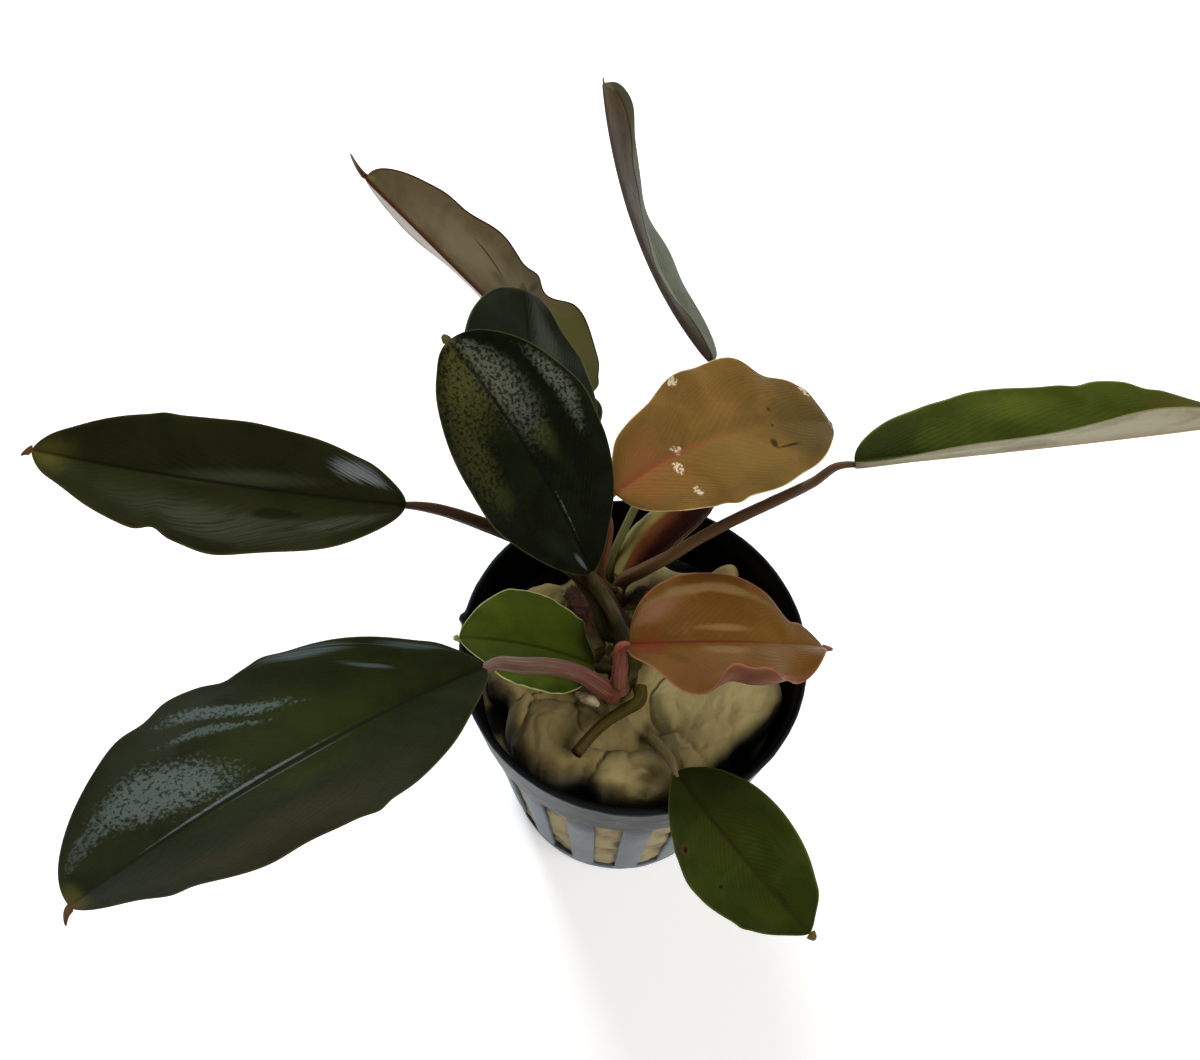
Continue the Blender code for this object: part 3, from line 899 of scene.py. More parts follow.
@dataclass(frozen=True)
class Rod:
    """A round or flattened stem along a curve, with its own finish."""
    name: str
    node: str | None
    points: list[Vector]
    radii: tuple[float, ...]
    finish: Finish
    flat: float = 1.0
    lumps: float = 0.04
    grooves: float = 0.03
    rings: int = 120
    sides: int = 40
    lip: float = 0.0
    ragged: float = 0.0
    cup: bool = False
    slot: str = ""

    def build(self) -> bpy.types.Object:
        """Circles carried along the path: the radius follows the list, plus stripes and lumps.

        The radius at angle a is R (1 + grooves cos 9a + lumps noise + lip (a / full turn - 1/2)),
        where the lip makes the rolled edge of a young leaf. A ragged stem has its first rings
        pulled back and forth unevenly, and a cup is a hollow in the far end.

        Returns:
            The stem.
        """
        path, share = smooth_path(self.points, self.rings)
        sideways, up = path_axes(path)
        turn = np.arange(self.sides) / self.sides
        angle = 2 * np.pi * turn
        base = np.interp(share, np.linspace(0, 1, len(self.radii)), self.radii)
        ends = np.clip(np.minimum(share, 1 if self.cup else 1 - share) / 0.012, 0, 1) ** 0.5
        base = base * (0.35 + 0.65 * ends)
        around = spokes(angle, sideways, up)
        noise = Noise(len(self.name) * 7 + 3).layered(path[:, None] * 0.5 + around * 0.8, 3)
        radius = base[:, None] * (1 + self.grooves * np.cos(9 * angle)[None] + self.lumps * noise
                                  + self.lip * (turn[None] - 0.5))
        ring = path[:, None] + radius[..., None] * spokes(angle, sideways, up, self.flat)
        back = np.cross(sideways, up)
        pull = self.ragged * Noise(9).layered(around * 2.5, 3) * smooth_step(share, 0.4, 0.0)[:, None]
        ring = ring + pull[..., None] * back[:, None]
        if self.cup:
            spread = ring[-1] - path[-1]
            ring = np.concatenate([ring, (path[-1] + 0.75 * spread)[None],
                                   (path[-1] + 0.6 * spread + 0.5 * back[-1])[None]])
            share = np.append(share, [1.0, 1.0])
        values = {"along": np.repeat(share[:, None], self.sides, 1),
                  "around": np.repeat(turn[None], len(share), 0)}
        return make_sleeve(self.name, ring, values)

    def dress(self) -> None:
        """Build the stem and give it its finish and its place."""
        settle(self.build(), self.finish.material(self.name), self.node)


RHIZOME_PATH: list[Vector] = [(-1.6, -7.6, 45.9), (-0.9, -4.0, 46.5), (-0.6, 0.5, 46.3), (-0.5, 5.0, 45.2),
                              (0.0, 9.0, 44.2), (0.6, 12.2, 43.4)]
RHIZOME_RADII = (1.7, 2.2, 2.4, 2.4, 2.3, 1.7)


@dataclass(frozen=True)
class Stalk:
    """A leaf's stalk: it leaves the rhizome at a share of its length and an angle round it."""
    leaf: Leaf
    along: float
    around: float
    via: list[Vector]
    foot: float
    top: float
    finish: StalkFinish
    lead: float = 1.6

    def rod(self) -> Rod:
        """The stalk as a rod that ends inside the blade's own base."""
        path, share = smooth_path(RHIZOME_PATH, 41)
        centre = np.array([np.interp(self.along, share, path[:, k]) for k in range(3)])
        radius = float(np.interp(self.along, np.linspace(0, 1, len(RHIZOME_RADII)), RHIZOME_RADII))
        turn = np.radians(self.around)
        way = np.array([-np.sin(turn), 0.0, np.cos(turn)])
        start = centre + way * radius * 0.4
        _, ahead, _, up = self.leaf.midrib(np.array([0.0, 0.04]))
        root = np.array(self.leaf.base)
        end = root - ahead[0] * 0.3 - up[0] * 0.4 * self.top
        inside = root + ahead[1] * self.leaf.length * 0.018 - up[1] * (0.25 + 0.5 * self.top)
        points = [tuple(start), tuple(centre + way * (radius + 1.0)), *self.via,
                  tuple(end - ahead[0] * self.lead), tuple(end), tuple(inside)]
        foot, top = self.foot, self.top
        radii = (foot * 1.18, foot * 1.04, foot, (foot + top) / 2, top, top, top, top * 0.98, top * 0.9,
                 top * 0.75, top * 0.45)
        return Rod("stalk_skin_" + self.leaf.name, "stalk_" + self.leaf.name, points, radii, self.finish,
                   lumps=0.03, grooves=0.02)


@dataclass(frozen=True)
class BarkFinish:
    """Colours of a dry or woody piece: blotches of two tones, and a third at its far end."""
    light: Colour
    dark: Colour
    end: Colour
    end_from: float = 0.8
    gloss: float = 0.6
    grain: float = 0.25

    def material(self, name: str) -> bpy.types.Material:
        """Blotches from warped noise, fine dark specks and a rough skin.

        Args:
            name: The material's name.

        Returns:
            The material.
        """
        shade = Shade(name)
        blotch = shade.noise(520, 4, warp=1.2)
        reach = shade.value("along") + 0.1 * (blotch - 0.5)
        speck = shade.step(shade.noise(2600, 2), 0.62, 0.74)
        colour = shade.coats(self.dark, (self.light, shade.step(blotch, 0.4, 0.6)),
                             (self.end, shade.step(reach, self.end_from, 0.99)),
                             (tint(22, 14, 7), speck * 0.55))
        height = blotch * 0.6 + shade.noise(1800, 3) * 0.4
        return shade.dress(colour, self.gloss + 0.2 * (blotch - 0.5), shade.bump(height, self.grain),
                           IOR=1.4)


@dataclass(frozen=True)
class RolledFinish:
    """Colours of the young leaf: pale where it leaves the crown, dark red where it is rolled."""
    pale: Colour
    flame: Colour
    wine: Colour
    lip: Colour

    def material(self, name: str) -> bpy.types.Material:
        """Colour runs from pale to wine round the roll, in soft lengthwise streaks.

        Args:
            name: The material's name.

        Returns:
            The material.
        """
        shade = Shade(name)
        along, around = shade.value("along"), shade.value("around")
        cosine, sine = (shade.math(kind, around * TURN) for kind in ("COSINE", "SINE"))
        streak = shade.noise(2.4, 3, shade.vector(cosine * 2.0, sine * 2.0, along))
        tone = cosine * 0.5 + 0.5 + 0.3 * (streak - 0.5) + 0.35 * (along - 0.4)
        near = shade.math("ABSOLUTE", around - 0.5)
        colour = shade.coats(self.pale, (self.flame, shade.step(tone, 0.2, 0.5)),
                             (self.wine, shade.step(tone, 0.45, 0.8)),
                             (self.lip, shade.step(near, 0.47, 0.495) * 0.8))
        return shade.dress(colour, 0.4 + 0.15 * (streak - 0.5), shade.bump(streak, 0.15), IOR=1.25)


@dataclass(frozen=True)
class WoolFinish:
    """Colours of the mineral wool on its swells and between them, where painted shade darkens it,
    with painted light on its right mound and black painted shade in its torn hollows.
    """
    swell: Colour
    middle: Colour
    fold: Colour
    hollow: Colour
    pale: Colour

    def material(self, name: str) -> bpy.types.Material:
        """Felted fibre: tone follows clouds and a tone darkened as painted shade beside the last press
        and towards the shoulder, with painted light on the right mound, black painted shade in the
        hollows and matted fine fibres.

        Args:
            name: The material's name.

        Returns:
            The material.
        """
        shade = Shade(name)
        tone_and_painted_shade, torn = shade.value("tone_and_painted_shade"), shade.value("torn")
        cloud = shade.noise(150, 4, warp=0.8)
        tone = tone_and_painted_shade + 0.5 * (cloud - 0.5)
        speck = shade.step(shade.noise(900, 2), 0.7, 0.78)
        # low tone, beside the last press and towards the shoulder, gets the dark fold colour as painted
        # shade
        colour = shade.coats(self.fold, (self.middle, shade.step(tone, 0.0, 0.4)),
                             (self.swell, shade.step(tone, 0.4, 0.95)),
                             # painted light: the right mound is painted paler
                             (self.pale, shade.value("pale") * shade.step(tone, 0.1, 0.7)),
                             # black painted shade in the torn hollows, at the side under them and in the
                             # pits
                             (self.hollow, shade.step(torn + 0.3 * (cloud - 0.5), 0.25, 0.85)),
                             (tint(58, 44, 20), speck * 0.5))
        fibre = shade.noise(1500, 4, warp=2.5, rough=0.7)
        height = fibre * 0.6 + shade.noise(500, 3, warp=1.0) * 0.6
        return shade.dress(colour, 0.82 + 0.2 * (fibre - 0.5), shade.bump(height, 0.22),
                           Sheen_Weight=0.15, IOR=1.35)


@dataclass(frozen=True)
class PotFinish:
    """Colours of the moulded pot: dark collar, a basket pale from dust and from painted reflection,
    an inside painted black as shade, and pale scuffs.
    """
    collar: Colour
    basket: Colour
    inside: Colour
    scuff: Colour

    def material(self, name: str) -> bpy.types.Material:
        """Moulded plastic: a basket pale from dust and from painted reflection, darker collar and rim,
        an inside painted black as shade, with dark nicks and pale scuffs.

        Args:
            name: The material's name.

        Returns:
            The material.
        """
        shade = Shade(name)
        inner, level = shade.value("inner"), shade.value("level")
        cloud = shade.noise(120, 4, warp=0.5)
        scratch = shade.step(shade.noise(420, 3, warp=1.5), 0.6, 0.72)
        nick = shade.step(shade.noise(260, 2, warp=0.3), 0.72, 0.78)
        # the basket colour is partly dust and partly painted reflection
        colour = shade.coats(self.basket,
                             (self.collar, shade.step(level + 0.15 * (cloud - 0.5), 0.45, 0.8)),
                             (self.scuff, scratch * 0.5), (tint(16, 17, 19), nick * 0.8),
                             (tint(20, 22, 25), shade.step(level, 0.972, 0.99) * 0.8),
                             # painted shade: the whole inner skin is near black
                             (self.inside, inner))
        height = shade.noise(1400, 3) * 0.5 + scratch * 0.2
        return shade.dress(colour, 0.42 + 0.25 * (cloud - 0.5) + 0.1 * inner,
                           shade.bump(height, 0.06), IOR=1.2)


@dataclass(frozen=True)
class Rhizome:
    """The creeping stem, with the ring scars of old leaves."""
    path: list[Vector]
    radii: tuple[float, ...]
    finish: BarkFinish
    rings: int = 160
    sides: int = 56
    scars: float = 9.0

    def build(self) -> bpy.types.Object:
        """Circles along the path whose radius dips sharply at each scar.

        The scar term is a cosine of the length to the tenth power, and the ends round off as
        the square root of 1 - 0.98 (2 share - 1)^8.

        Returns:
            The rhizome.
        """
        path, share = smooth_path(self.path, self.rings)
        sideways, up = path_axes(path)
        angle = 2 * np.pi * np.arange(self.sides) / self.sides
        base = np.interp(share, np.linspace(0, 1, len(self.radii)), self.radii)
        base *= np.sqrt(np.maximum(1 - 0.98 * (2 * share - 1) ** 8, 0))
        around = spokes(angle, sideways, up)
        lumps = Noise(5).layered(path[:, None] * 0.6 + around * 0.9, 4)
        scar = np.abs(np.cos(np.pi * self.scars * share[:, None] + 0.6 * lumps)) ** 10
        radius = base[:, None] * (1 + 0.09 * lumps - 0.1 * scar)
        ring = path[:, None] + radius[..., None] * around
        values = {"along": np.repeat(share[:, None], self.sides, 1),
                  "around": np.repeat(angle[None] / (2 * np.pi), self.rings, 0)}
        return make_sleeve("rhizome_skin", ring, values)

    def dress(self) -> None:
        """Build the rhizome and give it its finish and its place."""
        settle(self.build(), self.finish.material("rhizome_skin"), "rhizome")


@dataclass(frozen=True)
class Pot:
    """The net pot: slotted floor, ribbed basket with tall windows, plain collar and rim.

    The nub is a small bump of the rim at one angle, and wear is the depth of shallow dents. The
    grid has so many steps in each window's sector, the first of them across the window.
    """
    height: float = 48.0
    rim: float = 25.0
    collar: float = 11.6
    collar_foot: float = 23.5
    basket: float = 22.6
    foot: float = 18.0
    wall: float = 1.0
    floor: float = 1.2
    windows: int = 16
    window_width: float = 3.9
    window_foot: float = 3.0
    slot_inner: float = 7.0
    slot_outer: float = 14.0
    rib_swell: float = 0.22
    nub_angle: float = 178.0
    nub_height: float = 0.75
    wear: float = 0.05
    sector_steps: int = 24
    window_steps: int = 8
    # the basket colour is partly dust and partly painted reflection; the near-black inside colour is
    # painted shade
    finish: PotFinish = PotFinish(tint(23, 26, 30), tint(92, 100, 108), tint(3, 3, 3), tint(84, 92, 102))

    def profile(self) -> tuple[np.ndarray, np.ndarray, np.ndarray]:
        """Outer and inner lines from the floor's centre to the rim, level for level.

        Both are straight between their corners, and a narrow ring on the rim joins their ends.

        Returns:
            Outer points and inner points (radius, height), and which steps a window may open.
        """
        lip = self.height - self.collar
        corners = [(0.6, 0.0), (self.slot_inner, 0.0), (self.slot_outer, 0.0), (self.foot - 0.7, 0.0),
                   (self.foot, 0.5), (self.foot + 0.3, self.window_foot), (self.basket - 0.1, lip - 1.2),
                   (self.basket, lip - 0.5), (self.basket + 0.05, lip - 0.05),
                   (self.collar_foot - 0.15, lip),
                   (self.collar_foot, lip + 0.25), (self.rim - 0.12, self.height - 1.3),
                   (self.rim, self.height - 1.0), (self.rim, self.height - 0.35),
                   (self.rim - 0.3, self.height - 0.05)]
        inward = [(0.6, self.floor), (self.slot_inner, self.floor), (self.slot_outer, self.floor),
                  (self.foot - self.wall - 0.5, self.floor), (self.foot - self.wall, self.floor + 0.5),
                  (self.foot + 0.3 - self.wall, self.window_foot),
                  (self.basket - 0.1 - self.wall, lip - 1.2),
                  (self.basket - self.wall, lip - 0.5), (self.basket - self.wall + 0.3, lip + 0.3),
                  (self.collar_foot - 1.3, lip + 0.9), (self.collar_foot - 1.2, lip + 1.2),
                  (self.rim - 1.15, self.height - 1.3), (self.rim - 1.1, self.height - 1.0),
                  (self.rim - 1.0, self.height - 0.35), (self.rim - 0.75, self.height - 0.02)]
        steps = [2, 4, 2, 2, 2, 24, 2, 2, 2, 2, 14, 2, 2, 2]
        opens = [False, True, False, False, False, True] + [False] * 8
        lines = []
        for points in (corners, inward):
            run = [np.linspace(points[k], points[k + 1], count, endpoint=False)
                   for k, count in enumerate(steps)]
            lines.append(np.concatenate([*run, [points[-1]]]))
        return lines[0], lines[1], np.repeat(opens, steps)

    def build(self) -> bpy.types.Object:
        """Both lines turned round the axis, with windows cut and their four walls put in.

        A window's cells are left out of both skins. Each edge between an open cell and a closed
        one gets a wall from the outer skin to the inner skin.

        Returns:
            The pot.
        """
        outer, inner, opens = self.profile()
        step = 2 * np.pi / self.windows
        half = self.window_width / (self.foot + self.basket)
        rib_steps = self.sector_steps - self.window_steps
        sector = np.concatenate([np.linspace(-half, half, self.window_steps, endpoint=False),
                                 np.linspace(half, step - half, rib_steps, endpoint=False)])
        angle = (np.arange(self.windows)[:, None] * step + sector[None]).ravel()
        crown = np.sin(np.pi * np.arange(rib_steps) / rib_steps)
        rib = np.tile(np.concatenate([np.zeros(self.window_steps), crown]), self.windows)
        rows, columns = len(outer), len(angle)
        away = (np.degrees(angle) - self.nub_angle + 180) % 360 - 180
        nub = self.nub_height * np.exp(-(away / 1.4) ** 2)
        dents = Noise(21)
        skins = []
        for line, side in ((outer, 1), (inner, 0)):
            radius, height = line[:, :1] + 0 * angle, line[:, 1:] + 0 * angle
            in_basket = smooth_step(height, self.window_foot - 1, self.window_foot + 3) * (
                height < self.height - self.collar - 0.3)
            radius = radius + side * (self.rib_swell * rib * in_basket
                                      + nub * smooth_step(height, self.height - 2.2, self.height - 1.0))
            spot = np.stack([radius * np.cos(angle), radius * np.sin(angle), height], -1)
            wear = dents.layered(spot * 0.45, 3) * self.wear
            spot[..., :2] *= (1 + side * wear / np.maximum(radius, 5))[..., None]
            skins.append(spot)
        points = np.concatenate([skins[0].reshape(-1, 3), skins[1].reshape(-1, 3),
                                 [[0, 0, 0], [0, 0, self.floor]]])
        hole = opens[:, None] & (np.arange(columns)[None] % self.sector_steps < self.window_steps)
        cells = grid_faces(rows, columns, True).reshape(rows - 1, columns, 4)
        size = rows * columns
        faces = [cells[~hole], cells[~hole][:, ::-1] + size]
        sides = ((0, 1, np.roll(hole, 1, 0)), (1, 2, np.roll(hole, -1, 1)), (2, 3, np.roll(hole, -1, 0)),
                 (3, 0, np.roll(hole, 1, 1)))
        for first, second, neighbour in sides:
            quads = cells[hole & ~neighbour]
            a, b = quads[:, first], quads[:, second]
            faces.append(np.stack([a, b, b + size, a + size], -1))
        ring = np.arange(columns)
        after = (ring + 1) % columns
        rim = (rows - 1) * columns
        faces.append(np.stack([rim + ring, rim + after, rim + size + after, rim + size + ring], -1))
        faces.append(np.stack([after, ring, np.full(columns, 2 * size)], -1))
        faces.append(np.stack([ring + size, after + size, np.full(columns, 2 * size + 1)], -1))
        level = points[:, 2] / self.height
        inside = np.concatenate([np.zeros(size), np.ones(size), [0, 1]])
        return make_mesh("pot_shell", points, faces, {"inner": inside, "level": level})

    def dress(self) -> None:
        """Build the pot and give it its finish and its place."""
        settle(self.build(), self.finish.material("pot_shell"), "pot")


@dataclass(frozen=True)
class Press:
    """Something that lies in the wool and has pressed a trough into it."""
    points: list[Vector]
    radius: float


@dataclass(frozen=True)
class Wool:
    """The mineral wool plug: it fills the basket, and its torn top swells in soft folds.

    A tear is an angle, a spread in degrees and a depth; a dome is a place, a reach and a height;
    a pit is a place, a reach and a depth.
    """
    top: float = 44.4
    edge: float = 21.5
    inside: float = 21.95
    bulge: float = 0.15
    foot: float = 17.6
    bottom: float = 1.5
    window_top: float = 36.4
    swirl: float = 2.6
    crease: float = 0.5
    shoulder: float = 2.2
    over: float = 8.0
    sectors: int = 420
    rings: int = 190
    side_rings: int = 43
    tears: tuple[tuple[float, float, float], ...] = (
        (128, 26, 5.2), (74, 13, 4.6), (26, 16, 2.4), (-5, 12, -1.5), (-38, 15, 2.2), (-103, 7, 2.6),
        (-152, 9, 2.6), (52, 5, -1.9), (172, 8, 1.0))
    domes: tuple[tuple[float, float, float, float], ...] = (
        (14.5, -4, 10, 3.0), (8.5, -13.5, 5, 1.7), (-9, -14.5, 7, 2.4), (-17, -4, 6, 2.2),
        (-10.5, -6, 5, 2.0), (-1, -18, 5, 1.8), (4, -15, 4, 1.4), (-15, -11.5, 4, 1.9),
        (-15, 9, 6, 2.4), (-8, 14, 6, 2.2), (5, 11, 7, 2.6), (8.5, 4, 5, 2.2), (0, -2, 7, 1.2),
        (3, 7, 5, 3.3), (-9, 3, 5, 1.5), (12.2, 17, 3, 2.4), (-4, -10, 4, 1.2))
    pits: tuple[tuple[float, float, float, float], ...] = (
        (4.3, -11.0, 1.9, 1.6), (-4.6, -17.6, 1.0, 0.9), (2.0, -7.6, 2.2, 0.8), (-15.8, -13.4, 1.6, 1.6),
        (-2.6, 3.6, 1.6, 1.2), (20.0, -11.5, 3.0, 1.8), (3.4, -9.2, 1.8, 1.8), (5.4, -11.4, 1.6, 1.9),
        (-8.5, 0.5, 2.2, 0.8))
    presses: tuple[Press, ...] = ()
    # the fold colour is painted shade, the near-black hollow colour is black painted shade and the pale
    # colour is painted light
    finish: WoolFinish = WoolFinish(tint(148, 131, 84), tint(108, 92, 52), tint(42, 33, 14),
                                    tint(6, 5, 3), tint(190, 176, 122))

    def rim_radius(self, turn: np.ndarray) -> np.ndarray:
        """The torn edge: a circle less a bell curve at each tear, with a ragged outline.

        Args:
            turn: Angles in radians.

        Returns:
            The radius at each.
        """
        radius = np.full_like(turn, self.edge)
        for centre, spread, depth in self.tears:
            away = (np.degrees(turn) - centre + 180) % 360 - 180
            radius = radius - depth * np.exp(-(away / spread) ** 2)
        ring = np.stack([np.cos(turn) * 5, np.sin(turn) * 5, 0 * turn], -1)
        return np.minimum(radius + 0.55 * Noise(3).layered(ring, 4), 23.0)

    def surface(self, x: np.ndarray, y: np.ndarray) -> tuple[np.ndarray, np.ndarray, np.ndarray]:
        """Height of the top: the highest of several parabolic pillows, creased where two meet.

        The place is first shifted by two noises, so that the creases swirl and the pits aren't
        round. A crease is as deep as e to the minus difference of the two highest pillows. What
        lies on the wool presses it down.

        Args:
            x: Places, left to right.
            y: Places, front to back.

        Returns:
            Heights, a tone with soft random variation that is darkened as painted shade beside the last
            press, and how deep in a pit each place is, both from 0 to 1.
        """
        place = np.stack([x, y, 0 * x], -1)
        shift = np.stack([*(Noise(seed).layered(place * 0.17, 3) for seed in (11, 12)), 0 * x], -1)
        warped = place + self.swirl * shift
        domes = np.array(self.domes)
        away = np.hypot(warped[..., :1] - domes[:, 0], warped[..., 1:2] - domes[:, 1]) / domes[:, 2]
        pillows = np.sort(domes[:, 3] * (1 - away ** 2), -1)
        gap = pillows[..., -1] - pillows[..., -2]
        soft = np.minimum(np.abs(Noise(14).layered(warped * 0.22, 2)) * 2.2, 1) ** 0.8
        height = (self.top - 1.0 + np.maximum(pillows[..., -1], -0.3) - self.crease * np.exp(-gap / 0.22)
                  + 0.25 * (soft - 0.5) + 0.06 * Noise(15).layered(place * 1.3, 3))
        sunk, beside = 0 * x, gap
        spot = place + 0.35 * shift
        for across, ahead, reach, depth in self.pits:
            spread = (spot[..., 0] - across) ** 2 + (spot[..., 1] - ahead) ** 2
            dent = np.exp(-spread / reach ** 2)
            height = height - depth * dent
            sunk = np.maximum(sunk, dent * min(depth, 1.0))
        for press in self.presses:
            path, _ = smooth_path(press.points, 25)
            away = np.hypot(x[..., None] - path[:, 0], y[..., None] - path[:, 1])
            near = np.argmin(away, -1)
            beside = np.take_along_axis(away, near[..., None], -1)[..., 0]
            reach = press.radius + 0.2
            dip = path[near, 2] - np.sqrt(np.maximum(reach ** 2 - beside ** 2, 0)) * 0.9
            blend = smooth_step(beside, reach * 1.5, reach * 0.8)
            height = height + (np.minimum(height, dip) - height) * blend
        # the tone is painted shade: it falls beside the last press, with soft random variation
        return height, np.clip(0.75 * (1 - np.exp(-beside / 0.35)) + 0.3 * soft, 0, 1), sunk

    def build(self) -> bpy.types.Object:
        """Rings from under the plug, up its side and over the shoulder to the middle.

        Returns:
            The plug.
        """
        turn = np.arange(self.sectors) * 2 * np.pi / self.sectors
        rim = self.rim_radius(turn)
        torn_edge = np.clip((self.edge - rim) / 4, 0, 1)
        noise = Noise(17)
        rings, tones_and_painted_shade, torn = [], [], []
        for share in np.linspace(0, 1.2, self.side_rings):
            height = (self.bottom + min(share, 1.0) * (self.window_top - self.bottom)
                      + self.over * max(share - 1.0, 0))
            bulge = self.bulge * smooth_step(np.array(share), 1.0, 1.06)
            radius = self.foot + (self.inside - self.foot) * np.clip(height / 36.0, 0, 1) + bulge + 0 * turn
            inward = smooth_step(np.array(share), 1.1, 1.2)
            radius = radius + inward * (np.minimum(rim, self.inside + 0.6) - radius)
            spot = np.stack([radius * np.cos(turn), radius * np.sin(turn), height + 0 * turn], -1)
            rough = noise.layered(spot * 0.5, 4)
            pull = 1 + (np.minimum(rough, 0.2) - 0.2) * 0.4 * (share < 0.97) / radius
            spot[:, :2] *= pull[:, None]
            rings.append(spot)
            tones_and_painted_shade.append(0.8 + 0.4 * rough)
            # black painted shade high on the side under torn places and where it turns in to the rim
            torn.append(np.maximum(share ** 6 * torn_edge, inward))
        for share in 1 - np.linspace(0, 1, self.rings) ** 0.85 * 0.995:
            x, y = share * rim * np.cos(turn), share * rim * np.sin(turn)
            height, tone_and_painted_shade, sunk = self.surface(x, y)
            shoulder = np.clip((share * rim - (rim - self.shoulder)) / self.shoulder, 0, 1)
            drop = (1 - np.sqrt(np.maximum(1 - shoulder ** 2.2, 0))) * (2.6 + 2.0 * torn_edge)
            rings.append(np.stack([x, y, height - drop], -1))
            # painted shade: the tone darkens towards the shoulder
            tones_and_painted_shade.append(tone_and_painted_shade * (1 - 0.5 * shoulder))
            # black painted shade over the torn shoulder and in the pits
            torn.append(np.maximum(shoulder ** 3 * (0.15 + 0.85 * torn_edge), 0.62 * sunk ** 1.5))
        grid = np.stack(rings)
        # painted light: marks the right mound, which is painted paler
        pale = np.exp(-((grid[..., 0] - 15) / 9) ** 2 - ((grid[..., 1] + 2) / 8) ** 2)
        values = {"tone_and_painted_shade": np.stack(tones_and_painted_shade), "torn": np.stack(torn), "pale": pale}
        return make_sleeve("wool_plug", grid, values)

    def dress(self) -> None:
        """Build the wool and give it its finish and its place."""
        settle(self.build(), self.finish.material("wool_plug"), "wool")


@dataclass(frozen=True)
class Light:
    """A soft square or oblong light that looks at the crown from a bearing and a height in degrees."""
    name: str
    azimuth: float
    elevation: float
    distance: float
    size: float
    watts: float
    colour: Colour
    tall: float = 1.0
    glossy: bool = False

    def place(self, target: Vector) -> None:
        """Put the light where its bearing and height say, turned to the target.

        A glossy light is only mirrored in wet faces; the others only light the colours.

        Args:
            target: What it looks at, in millimetres.
        """
        turn, rise = np.radians(self.azimuth), np.radians(self.elevation)
        away = np.array([np.cos(turn) * np.cos(rise), np.sin(turn) * np.cos(rise), np.sin(rise)])
        side = np.array([-np.sin(turn), np.cos(turn), 0.0])
        lamp = bpy.data.lights.new(self.name, "AREA")
        lamp.shape = "RECTANGLE"
        lamp.size = self.size
        lamp.size_y = self.size * self.tall
        lamp.energy = self.watts
        lamp.color = self.colour
        item = bpy.data.objects.new(self.name, lamp)
        item.visible_glossy = self.glossy
        item.visible_diffuse = not self.glossy
        bpy.context.collection.objects.link(item)
        axes = np.stack([side, np.cross(away, side), away, np.array(target) * MM + away * self.distance], 1)
        item.matrix_world = Matrix([*axes.tolist(), [0, 0, 0, 1]])


@dataclass(frozen=True)
class Studio:
    """White floor, soft light and the camera at the photograph's angle."""
    eye: Vector = (0.0, -83.4, 215.3)
    yaw: float = -4.2
    pitch: float = 58.6
    roll: float = 4.3
    lens: float = 39.0
    floor_size: float = 3.0
    world: float = 0.15
    lights: tuple[Light, ...] = (
        Light("window", 115, 46, 0.75, 0.36, 7.0, (0.88, 0.95, 1.0)),
        Light("room", -30, 40, 0.9, 0.5, 5.0, (1.0, 0.97, 0.92)),
        Light("window_glint", 113, 36, 0.75, 0.3, 1.35, (0.82, 0.92, 1.0), 0.45, True),
        Light("room_glint", -22, 46, 0.8, 0.3, 0.9, (1.0, 0.99, 0.94), 0.5, True))

    def floor(self) -> None:
        """A plain pale floor under the pot, with the faintest mottling."""
        half = self.floor_size / 2 / MM
        corners = np.array([(-half, -half, 0), (half, -half, 0), (half, half, 0), (-half, half, 0)])
        mesh = bpy.data.meshes.new("floor")
        mesh.from_pydata([tuple(p) for p in corners * MM], [], [(0, 1, 2, 3)])
        item = bpy.data.objects.new("floor", mesh)
        bpy.context.collection.objects.link(item)
        shade = Shade("floor")
        paper = shade.mix((0.93, 0.93, 0.93), (0.96, 0.955, 0.95), shade.noise(12, 3))
        item.data.materials.append(shade.dress(paper, 0.9, Emission_Color=(1.0, 1.0, 1.0, 1.0),
                                               Emission_Strength=0.4))

    def camera(self) -> None:
        """The camera: its axes follow from yaw, downward pitch and roll."""
        yaw, pitch, roll = np.radians([self.yaw, self.pitch, self.roll])
        ahead = np.array([np.sin(yaw) * np.cos(pitch), np.cos(yaw) * np.cos(pitch), -np.sin(pitch)])
        level = np.array([np.cos(yaw), -np.sin(yaw), 0])
        lift = np.cross(level, ahead)
        right = np.cos(roll) * level + np.sin(roll) * lift
        up = -np.sin(roll) * level + np.cos(roll) * lift
        lens = bpy.data.cameras.new("camera")
        lens.lens = self.lens
        lens.sensor_width = 36
        lens.clip_start = 0.001
        item = bpy.data.objects.new("camera", lens)
        bpy.context.collection.objects.link(item)
        axes = np.stack([right, up, -ahead, np.array(self.eye) * MM], 1)
        item.matrix_world = Matrix([*axes.tolist(), [0, 0, 0, 1]])
        bpy.context.scene.camera = item

    def light(self) -> None:
        """Near-white surroundings, the lights and a neutral view of the colours."""
        world = bpy.data.worlds.new("studio")
        world.use_nodes = True
        sky = world.node_tree.nodes["Background"]
        sky.inputs["Color"].default_value = (1.0, 0.99, 0.98, 1.0)
        sky.inputs["Strength"].default_value = self.world
        bpy.context.scene.world = world
        bpy.context.scene.view_settings.view_transform = "Standard"
        for lamp in self.lights:
            lamp.place((0, 0, 50))

    def build(self) -> None:
        """Put up the floor, the camera and the light."""
        self.floor()
        self.camera()
        self.light()


